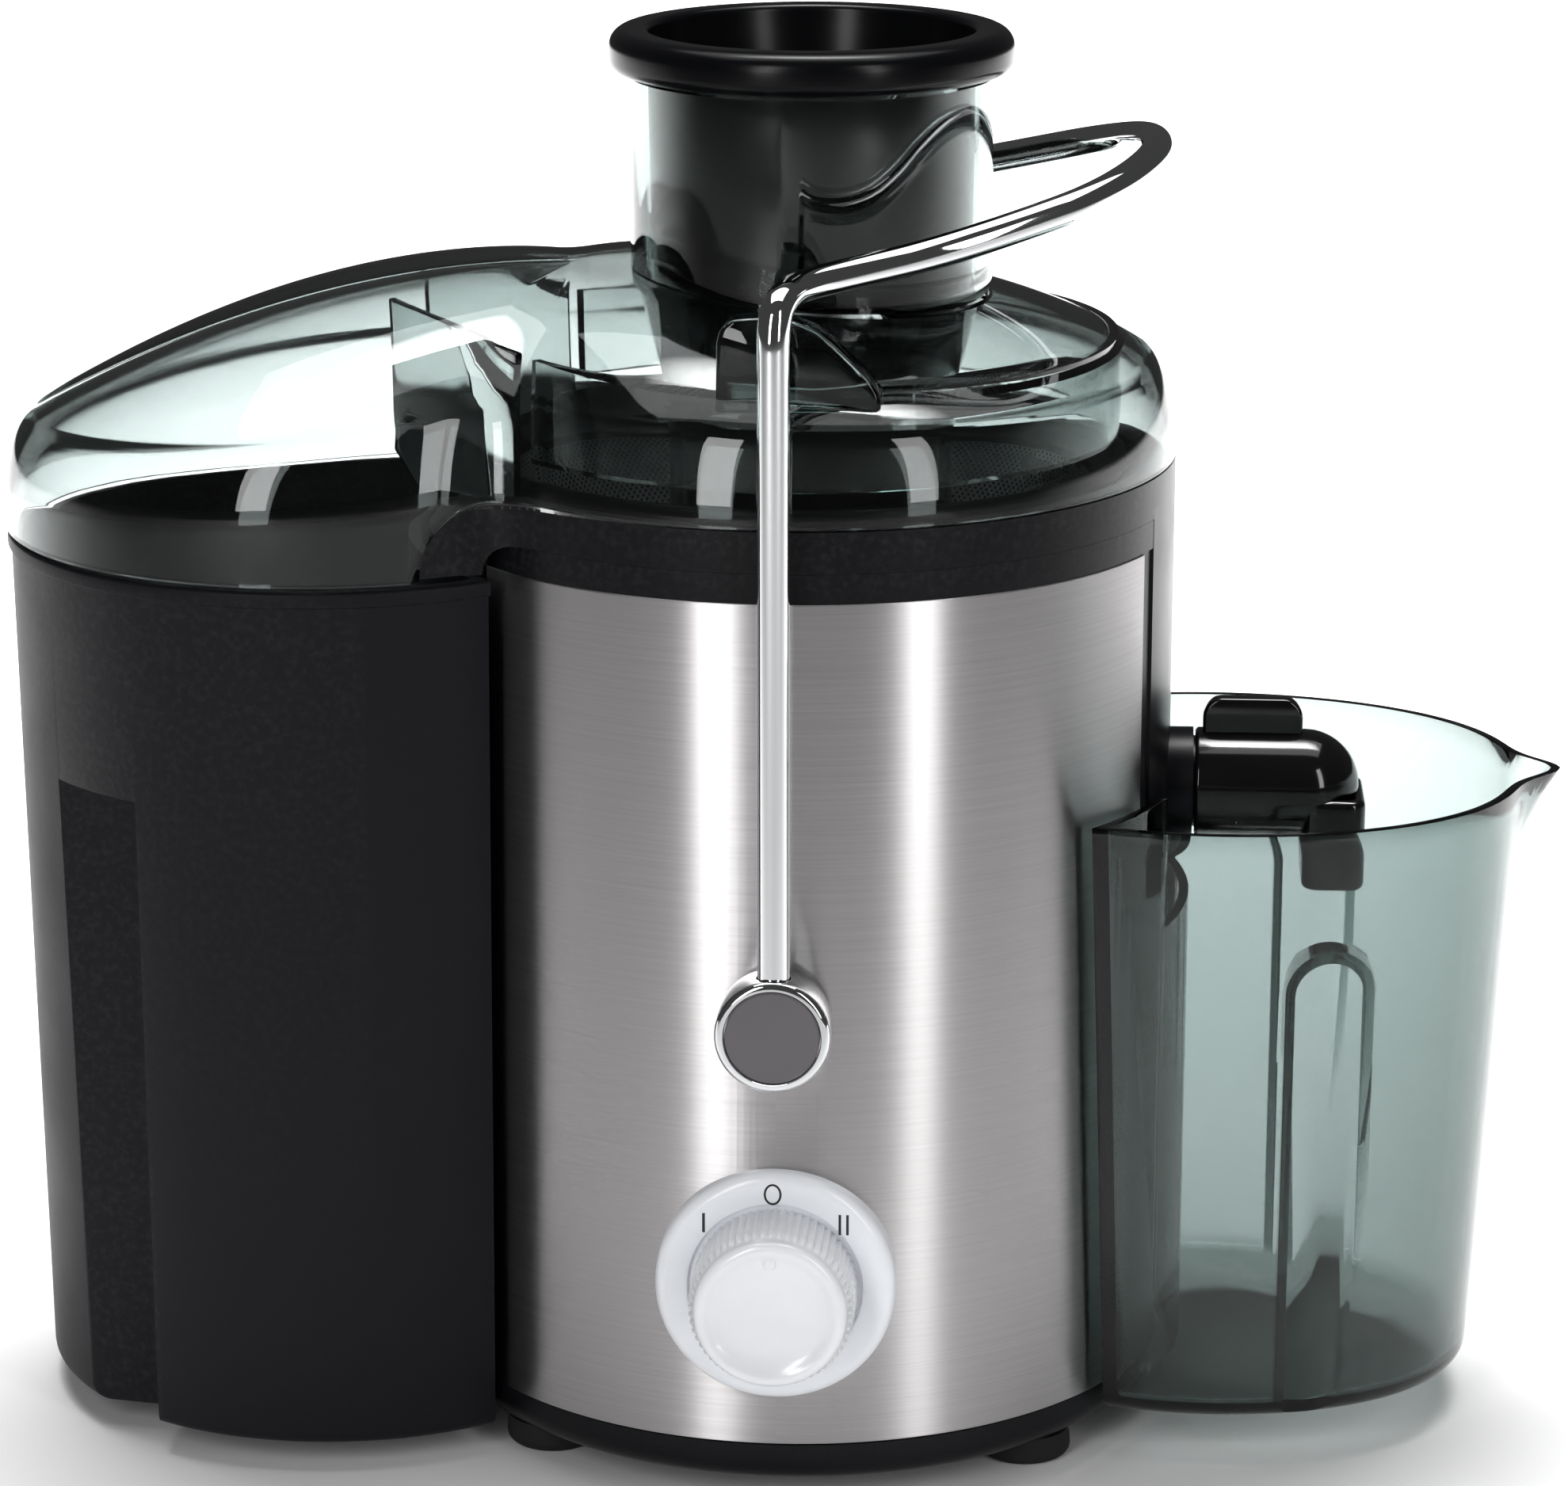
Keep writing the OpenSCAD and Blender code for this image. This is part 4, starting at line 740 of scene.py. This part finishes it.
def jug_skin(g, levels, n=240):
    verts, rows = [], []
    lip = LIP_TIP - (JUG_CX + JUG_A)
    for z, extra in levels:
        row = []
        for i in range(n):
            t = 2 * math.pi * i / n
            x, y = jug_plan(t, g + extra, z)
            up = max(0.0, (z - (Z_JUG1 - 26)) / 26.0)
            w = math.exp(-(y / 8.2) ** 2) if x > JUG_CX else 0.0
            x += lip * w * up ** 2.1
            row.append(len(verts))
            verts.append((x, y, z))
        rows.append(row)
    return verts, rows


def jug_solid(g, z0, z1, n=240, round_r=4.0):
    levels = [(z0 + round_r * (1 - math.cos(math.radians(q))), round_r * (1 - math.sin(math.radians(q))))
              for q in range(0, 91, 15)]
    steps = 26
    levels += [(z0 + round_r + (z1 - z0 - round_r) * k / steps, 0.0) for k in range(1, steps + 1)]
    verts, rows = jug_skin(g, levels, n)
    faces = []
    for k in range(len(rows) - 1):
        for i in range(n):
            j = (i + 1) % n
            faces.append((rows[k][i], rows[k][j], rows[k + 1][j], rows[k + 1][i]))
    faces += [rows[0][::-1], rows[-1]]
    return verts, faces


def grip_form(g, s):
    """The finger recess: a tall slot with a round top, cut in from the front or the back."""
    w = GRIP_W + g
    out = [(-w, -5.0), (w, -5.0)] + arc((0, GRIP_TOP), w, 0, 180, 24)
    return prism_y([(GRIP_X + x, z) for x, z in out], s * (GRIP_Y - g), s * (JUG_W + 30))


def cyl(r, z0, z1, cx=0.0, cy=0.0, n=256):
    return lathe([(0, z0), (r, z0), (r, z1), (0, z1)], n, cx, cy, closed=False)


inner = scrap(*jug_solid(JUG_WALL, Z_JUG0 + JUG_WALL + 0.6, Z_JUG1 + 5, round_r=3.0))
boolean(inner, scrap(*cyl(JUG_IN + JUG_WALL, -5, 300)))
for s in (1, -1):
    boolean(inner, scrap(*grip_form(JUG_WALL, s)))
jug = new_object("jug_shell", *jug_solid(0, Z_JUG0, Z_JUG1), mat_jug, "jug", angle=40)
boolean(jug, scrap(*cyl(JUG_IN, -5, 300)))
for s in (1, -1):
    boolean(jug, scrap(*grip_form(0, s)))
boolean(jug, inner)
NOTCH = SP_R + 16.5
boolean(jug, scrap(*block((20, JUG_IN + 8), (-NOTCH, NOTCH), (Z_SPOUT - 19.9 - 3, 300))))
bevel(jug, 0.55, 2, 50)
shade(jug, 38)
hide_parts("juice_jug")


# ---------------------------------------------------------------- pulp bin
BIN_IN = BODY_R + 1.8
Z_BIN0, Z_BIN1 = BIN_LO[2], BIN_HI[2]
BIN_TOP_R = BIN_HI[1]
BIN_R0 = 63.0
BIN_WALL = 2.2
BIN_GRIP_X = 33
BIN_GRIP_Y = -66 + 22.4
BIN_GRIP_H = 134
BIN_GRIP_R = 3.6


def bin_form(g, z0, z1, rim=True):
    r0, r1 = BIN_R0 - g, BIN_TOP_R - 0.7 - g
    slope = (r1 - r0) / (Z_BIN1 - Z_BIN0)
    prof = [(0, z0)] + arc((r0 - 2.5, z0 + 2.5), 2.5, -90, 0, 6)
    if rim:
        prof += [(r0 + slope * (z1 - z0 - 3.4), z1 - 3.4), (BIN_TOP_R, z1 - 2.9)]
        prof += arc((BIN_TOP_R - 0.8, z1 - 0.8), 0.8, 0, 90, 4) + [(0, z1)]
    else:
        prof += [(r0 + slope * (z1 - z0), z1), (0, z1)]
    return lathe(prof, 288, -BIN_X, closed=False)


def bin_grip(g, s):
    """The finger channel: a tall corner cut from the bin's left side, with a rounded edge."""
    x = -BIN_X - BIN_GRIP_X + g
    y = BIN_GRIP_Y + g
    out = [(x - 19.2, y + 3), (x - 2.2, y + 0.15)]
    for q in range(0, 91, 15):
        a = math.radians(q)
        out.append((x - 2.2 + BIN_GRIP_R * math.sin(a), y - 3.45 + BIN_GRIP_R * math.cos(a)))
    out += [(x + 1.8, -200), (-400, -200), (-400, y + 3)]
    return prism([(px, s * py) for px, py in out], -5, Z_BIN0 + BIN_GRIP_H + g)


hollow = scrap(*bin_form(BIN_WALL, Z_BIN0 + BIN_WALL, Z_BIN1 + 4, rim=False))
boolean(hollow, scrap(*cyl(BIN_IN + BIN_WALL, -5, 300)))
for s in (1, -1):
    boolean(hollow, scrap(*bin_grip(BIN_WALL, s)))
bin_obj = new_object("bin_shell", *bin_form(0, Z_BIN0, Z_BIN1), mat_bin, "pulp_bin", angle=35)
boolean(bin_obj, scrap(*cyl(BIN_IN, -5, 300)))
for s in (1, -1):
    boolean(bin_obj, scrap(*bin_grip(0, s)))
boolean(bin_obj, hollow)
bevel(bin_obj, 0.7, 3, 40)
shade(bin_obj, 35)
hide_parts("pulp_container")


# ---------------------------------------------------------------- dial
DIAL_Z = (BEZ_LO[2] + BEZ_HI[2]) / 2
BEZ_R = (BEZ_HI[2] - BEZ_LO[2]) / 2
FACE_Y = BEZ_LO[1]
KNOB_R = KNOB_HI[0]
KNOB_OUT = FACE_Y - KNOB_LO[1]
PIP_Y = KNOB_R - 5.8
DIMPLE_R = 1.6
at_dial = Matrix.Translation((0, FACE_Y, DIAL_Z)) @ Matrix.Rotation(math.radians(90), 4, "X")
well = KNOB_R + 0.9
prof = [(6.3, -4.5), (6.3, -1.6)] + [(well, -1.6), (well, -0.9), (well + 0.25, -0.25), (well + 0.9, 0.0)]
prof += [(BEZ_R - 3.4, 0.0)] + arc((BEZ_R - 2.4, -2.4), 2.4, 90, 12, 12)
prof += [(BEZ_R, -3.4), (BEZ_R, -7.0), (6.3, -7.0)]
v, f = lathe(prof, 192)
bezel = new_object("dial_ring", turned(v, at_dial), f, mat_silver, "base", angle=30)
boolean(bezel, scrap(*cyl(BODY_R + 0.02, 0, 200)))
shade(bezel, 30)
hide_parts("dial_bezel")

# knob: ridged skirt, smooth shoulder, dished face with a small dimple
ridges, per = 60, 6
n = ridges * per
top = KNOB_OUT
levels = [(-1.2, 0.0, 1.0), (0.0, 0.0, 1.0), (top - 4.6, 0.0, 1.0)]
levels += [(top - 3.5, 0.25, 0.9), (top - 2.9, 0.8, 0.35), (top - 2.5, 1.1, 0.0)]
for q in range(0, 91, 15):
    a = math.radians(q)
    levels.append((top - 1.7 + 1.7 * math.sin(a), 1.2 + 1.7 * (1 - math.cos(a)), 0.0))
levels += [(top - 0.15, 3.6, 0.0), (top - 0.7, 4.4, 0.0), (top - 1.15, 5.6, 0.0)]
levels += [(top - 1.5, 7.6, 0.0), (top - 1.75, 10, 0.0), (top - 1.9, 13, 0.0)]
verts, faces, rows = [], [], []
for z, inward, ridge in levels:
    row = []
    for i in range(n):
        t = 2 * math.pi * i / n
        wave = 0.5 - 0.5 * math.cos(2 * math.pi * i / per)
        r = KNOB_R - inward - 0.62 * ridge * wave
        row.append(len(verts))
        verts.append((r * math.cos(t), r * math.sin(t), z))
    rows.append(row)
for k in range(len(rows) - 1):
    for i in range(n):
        j = (i + 1) % n
        faces.append((rows[k][i], rows[k][j], rows[k + 1][j], rows[k + 1][i]))
c = len(verts)
verts.append((0, 0, top - 1.95))
faces += [(rows[-1][i], rows[-1][(i + 1) % n], c) for i in range(n)]
faces.append(rows[0][::-1])
for i, p in enumerate(verts):
    d = math.hypot(p[0], p[1] - PIP_Y)
    if d < DIMPLE_R and p[2] > top - 2.2:
        verts[i] = (p[0], p[1], p[2] - 0.35 * (1 - (d / DIMPLE_R) ** 2))
knob = new_object("knob_cap", turned(verts, at_dial), faces, mat_knob, "dial", angle=40)
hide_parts("dial_knob")
pip_prof = [(0, -0.3), (1.05, -0.3), (1.15, 0.0), (1.05, 0.22), (0.5, 0.34), (0, 0.36)]
v, f = lathe(pip_prof, 48, 0, PIP_Y, closed=False)
v = [(x, y, z + top - 1.05) for x, y, z in v]
pip = new_object("knob_pip", turned(v, at_dial), f, mat_knob, "dial", angle=40)


def mark(name, parts):
    """Printed strokes on the bezel's face: each is a closed band of quads."""
    verts, faces = [], []
    for outline, inner_line in parts:
        n0 = len(verts)
        m = len(outline)
        for z in (0.03, 0.0):
            verts += [(x, y, z) for x, y in outline]
            verts += [(x, y, z) for x, y in inner_line]
        for i in range(m):
            j = (i + 1) % m
            faces.append((n0 + i, n0 + j, n0 + m + j, n0 + m + i))
            faces.append((n0 + 2 * m + j, n0 + 2 * m + i, n0 + 3 * m + i, n0 + 3 * m + j))
            faces.append((n0 + j, n0 + i, n0 + 2 * m + i, n0 + 2 * m + j))
            faces.append((n0 + m + i, n0 + m + j, n0 + 3 * m + j, n0 + 3 * m + i))
    v = [tuple(at_dial @ Vector(p)) for p in verts]
    o = new_object(name, v, faces, mat_print, "base", smooth=False)
    return o


def bar(x, y, w, h):
    """An upright stroke, as a band from its outline to a thin line inside it."""
    def corners(half_w, half_h):
        return [(x - half_w, y - half_h), (x + half_w, y - half_h),
                (x + half_w, y + half_h), (x - half_w, y + half_h)]

    return corners(w / 2, h / 2), corners(w * 0.01, h * 0.48)


def oval(x, y, a, b, t):
    """An oval ring of width t."""
    turn = [2 * math.pi * k / 40 for k in range(40)]
    return ([(x + a * math.cos(u), y + b * math.sin(u)) for u in turn],
            [(x + (a - t) * math.cos(u), y + (b - t) * math.sin(u)) for u in turn])


mark("mark_low", [bar(-14.0, 13.4, 0.55, 4.0)])
mark("mark_off", [oval(-0.4, 19.6, 1.75, 2.2, 0.42)])
mark("mark_high", [bar(12.8, 13.6, 0.5, 4.2), bar(14.3, 13.6, 0.5, 4.2)])


# ---------------------------------------------------------------- base rim and feet
BASE_LO, BASE_HI = box("base_cover")
FOOT_HI = box("rubber_feet")[1]
FOOT_H = BASE_LO[2]
BASE_R = BASE_HI[0]
prof = [(0, FOOT_H)] + arc((BASE_R - 5, FOOT_H + 5), 5, -90, 0, 12)
prof += [(BASE_R, Z_BODY - 0.6), (BASE_R - 0.5, Z_BODY - 0.1), (BASE_R - 2.4, Z_BODY - 0.1)]
prof += [(BASE_R - 2.4, FOOT_H + 4.4), (BASE_R - 4.4, FOOT_H + 2.4), (0, FOOT_H + 2.4)]
rim = new_object("base_tray", *lathe(prof, 256, closed=False), mat_satin, "base", angle=35)
for i in range(-4, 5):
    vent = block((i * 6.5 - 1.5, i * 6.5 + 1.5), (-22, 22), (FOOT_H - 1, FOOT_H + 4))
    boolean(rim, scrap(*vent))
for q in range(4):
    cx, cy = 64 * math.cos(math.radians(90 * q)), 64 * math.sin(math.radians(90 * q))
    boolean(rim, scrap(*cyl(4.2, FOOT_H - 1, FOOT_H + 4, cx, cy, 48)))
shade(rim, 35)
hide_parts("base_cover")
foot_r = 9.6
feet = []
for sx in (-1, 1):
    for sy in (-1, 1):
        fx, fy = sx * (FOOT_HI[0] - foot_r), sy * (FOOT_HI[1] - foot_r)
        prof = [(0, 0.5), (5.2, 0.5), (5.6, 0.05)] + arc((foot_r - 2.0, 2.0), 2.0, -90, 0, 8)
        prof += [(foot_r - 0.3, FOOT_H - 0.1), (0, FOOT_H - 0.1)]
        v, f = lathe(prof, 72, fx, fy, closed=False)
        foot = new_object("foot_" + str(len(feet) + 1), v, f, mat_rubber, "base", angle=35)
        feet.append(foot)
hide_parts("rubber_feet")


# ---------------------------------------------------------------- spout elbow
SEAM = ELB_LO[0]
ELB_X = ELB_HI[0] - 1.2
NOZZLE_W = 12.8
RUN = ELB_X - SP_R - SEAM
prof = [(9.35, 0.4), (9.6, 0)] + arc((SP_R - 0.8, 0.8), 0.8, -90, 0, 5) + [(SP_R, RUN)]
to_x = Matrix.Translation((SEAM, 0, Z_SPOUT)) @ Matrix.Rotation(math.radians(90), 4, "Y")
prof += [(SP_R * math.cos(math.radians(q)), RUN + SP_R * math.sin(math.radians(q))) for q in range(10, 91, 8)]
prof = prof[:-1] + [(0, ELB_X - SEAM)]
v, f = lathe([(0, 0.4)] + prof, 128, closed=False)
elbow = new_object("elbow_shell", turned(v, to_x), f, mat_gloss, "spout", angle=45)
x1n, x0n, hy = ELB_X + 1.2, ELB_X + 1.2 - NOZZLE_W, SP_R - 0.2
zt, zb = Z_SPOUT - 1.0, ELB_LO[2]


def rounded(x0, x1, y0, y1, r, n=6):
    out = []
    corners = ((x1 - r, y1 - r, 0), (x0 + r, y1 - r, 90), (x0 + r, y0 + r, 180), (x1 - r, y0 + r, 270))
    for cx, cy, a in corners:
        out += arc((cx, cy), r, a, a + 90, n)
    return out


nozzle = scrap(*prism(rounded(x0n, x1n, -hy, hy, 3.2), zb, zt))
bevel(nozzle, 1.4, 4, 60)
boolean(elbow, nozzle, "UNION")
tab_out = [(SEAM + 1.5, Z_SPOUT + SP_R - 2)] + arc((SEAM + 5.5, ELB_HI[2] - 4), 4, 180, 90, 10)
tab_out += arc((SEAM + 17.9, ELB_HI[2] - 4), 4, 90, 0, 10) + [(SEAM + 21.9, Z_SPOUT + SP_R - 2)]
tab = scrap(*prism_y(tab_out, -2.0, 2.0))
bevel(tab, 0.7, 3, 60)
boolean(elbow, tab, "UNION")
bore_prof = [(0, -1), (9.26, -1), (9.26, 8.4), (7.6, 8.4), (7.6, RUN + 3), (0, RUN + 7)]
v, f = lathe(bore_prof, 96, closed=False)
boolean(elbow, scrap(turned(v, to_x), f))
boolean(elbow, scrap(*prism(rounded(x0n + 2, x1n - 2, -hy + 2, hy - 2, 2.0), zb - 1, Z_SPOUT - 0.5)))
shade(elbow, 38)
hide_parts("spout_elbow")


# ---------------------------------------------------------------- basket: perforated sheet and its upper ring
MESH_LO, MESH_HI = box("filter_mesh")
RINGB_HI = box("basket_ring")[1]
mesh_r0, mesh_r1 = 43.0, MESH_HI[0]
Z_M0, Z_M1 = MESH_LO[2], MESH_HI[2]
BAS_R = RINGB_HI[0]
v, f = lathe([(mesh_r0, Z_M0), (mesh_r1, Z_M1), (mesh_r1 - 0.7, Z_M1), (mesh_r0 - 0.7, Z_M0)], 192)
sheet_obj = new_object("basket_sheet", v, f, mat_mesh, "drive", angle=40)
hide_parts("filter_mesh")
prof = [(mesh_r1 - 1.4, Z_M1 + 0.05), (mesh_r1 + 1.8, Z_M1 + 0.05)]
prof += [(BAS_R - 0.2, Z_M1 + 3.3), (BAS_R, Z_M1 + 4.0)] + arc((BAS_R - 1, RINGB_HI[2] - 1), 1.0, 0, 180, 10)
prof += [(BAS_R - 2.6, Z_M1 + 4.4), (mesh_r1 - 1.4, Z_M1 + 2)]
ring = new_object("basket_rim", *lathe(prof, 224), mat_satin, "drive", angle=40)
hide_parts("basket_ring")


# ---------------------------------------------------------------- steel wrap with rolled edges
ROLL = 0.3
wrap_prof = [(BODY_R - 0.8, STEEL_LO[2]), (BODY_R - 0.35, STEEL_LO[2])]
wrap_prof += arc((BODY_R - ROLL, STEEL_LO[2] + ROLL), ROLL, -60, 0, 3)
wrap_prof += arc((BODY_R - ROLL, STEEL_HI[2] - ROLL), ROLL, 0, 90, 4) + [(BODY_R - 0.8, STEEL_HI[2])]
wrap = new_object("steel_sheet", *lathe(wrap_prof, 360), mat_steel, "base", angle=40)
SLOT_W, Z_SLOT = 30.4, STEEL_HI[2] + 0.05 - 49
slot_out = arc((0, Z_SLOT), SLOT_W, 180, 360, 32) + [(SLOT_W, 300), (-SLOT_W, 300)]
boolean(wrap, scrap(*prism_x(slot_out, 20, 120)))
arch_cut = [(-200, Z_HOUSE + 1), (-200, Z_ARCH - 11), (ARCH_IN_LEFT, Z_ARCH - 11)]
arch_cut += arc((ARCH_IN_LEFT + ARCH_IN, Z_ARCH), ARCH_IN, 180, 90, 12)
arch_cut += [(ARCH_IN_LEFT + ARCH_IN, Z_HOUSE + 1)]
boolean(wrap, scrap(*prism_y(arch_cut, -100, 100)))


def hole_y(r, x, z, y0, y1):
    v, f = cyl(r, y0, y1, 0, 0, 64)
    m = Matrix.Translation((x, 0, z)) @ Matrix.Rotation(math.radians(-90), 4, "X")
    return turned(v, m), f


boolean(wrap, scrap(*hole_y(4.0, 0, Z_PIVOT, -120, 120)))
boolean(wrap, scrap(*hole_y(8.0, 0, DIAL_Z, -120, 0)))
boolean(wrap, scrap(*hole_y(7.1, 0, Z_BODY + 13, 0, 120)))
shade(wrap, 35)
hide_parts("steel_wrap")


# ---------------------------------------------------------------- studio
def area(name, loc, target, size_x, size_y, power):
    data = bpy.data.lights.new(name, "AREA")
    data.shape = "RECTANGLE"
    data.size, data.size_y = size_x, size_y
    data.energy = power
    obj = bpy.data.objects.new(name, data)
    bpy.context.scene.collection.objects.link(obj)
    obj.location = loc
    d = Vector(target) - Vector(loc)
    obj.rotation_euler = d.to_track_quat("-Z", "Y").to_euler()
    return obj


world = bpy.data.worlds.new("studio")
bpy.context.scene.world = world
world.use_nodes = True
world.node_tree.nodes["Background"].inputs["Color"].default_value = (1, 1, 1, 1)
world.node_tree.nodes["Background"].inputs["Strength"].default_value = 0.05

fm = Mat("floor_white", (0.92, 0.92, 0.92), 0.0, 0.8)
fw = fm.noise(fm.scaled(1, 1, 1), 6, 2)
fm.link(fm.spread(fw, 0.75, 0.85), fm.p.inputs["Roughness"])
FLOOR = 4000
corners = [(-FLOOR, -FLOOR, 0), (FLOOR, -FLOOR, 0), (FLOOR, FLOOR, 0), (-FLOOR, FLOOR, 0)]
mesh = bpy.data.meshes.new("floor")
mesh.from_pydata([tuple(c * M for c in v) for v in corners], [], [(0, 1, 2, 3)])
floor = bpy.data.objects.new("floor", mesh)
mesh.materials.append(fm.m)
bpy.context.scene.collection.objects.link(floor)

area("key_left", (-0.50, -1.24, 0.62), (0, 0, 0.20), 0.26, 1.0, 6.6)
area("key_right", (0.84, -1.02, 0.62), (0, 0, 0.20), 0.22, 1.0, 4.6)
top = area("top", (0, 1.30, 1.6), (0, 1.30, 0), 4.2, 2.4, 92)
top.data.spread = math.radians(50)
area("crown", (0, 0.15, 1.3), (0, 0, 0.2), 1.3, 0.9, 7.0)
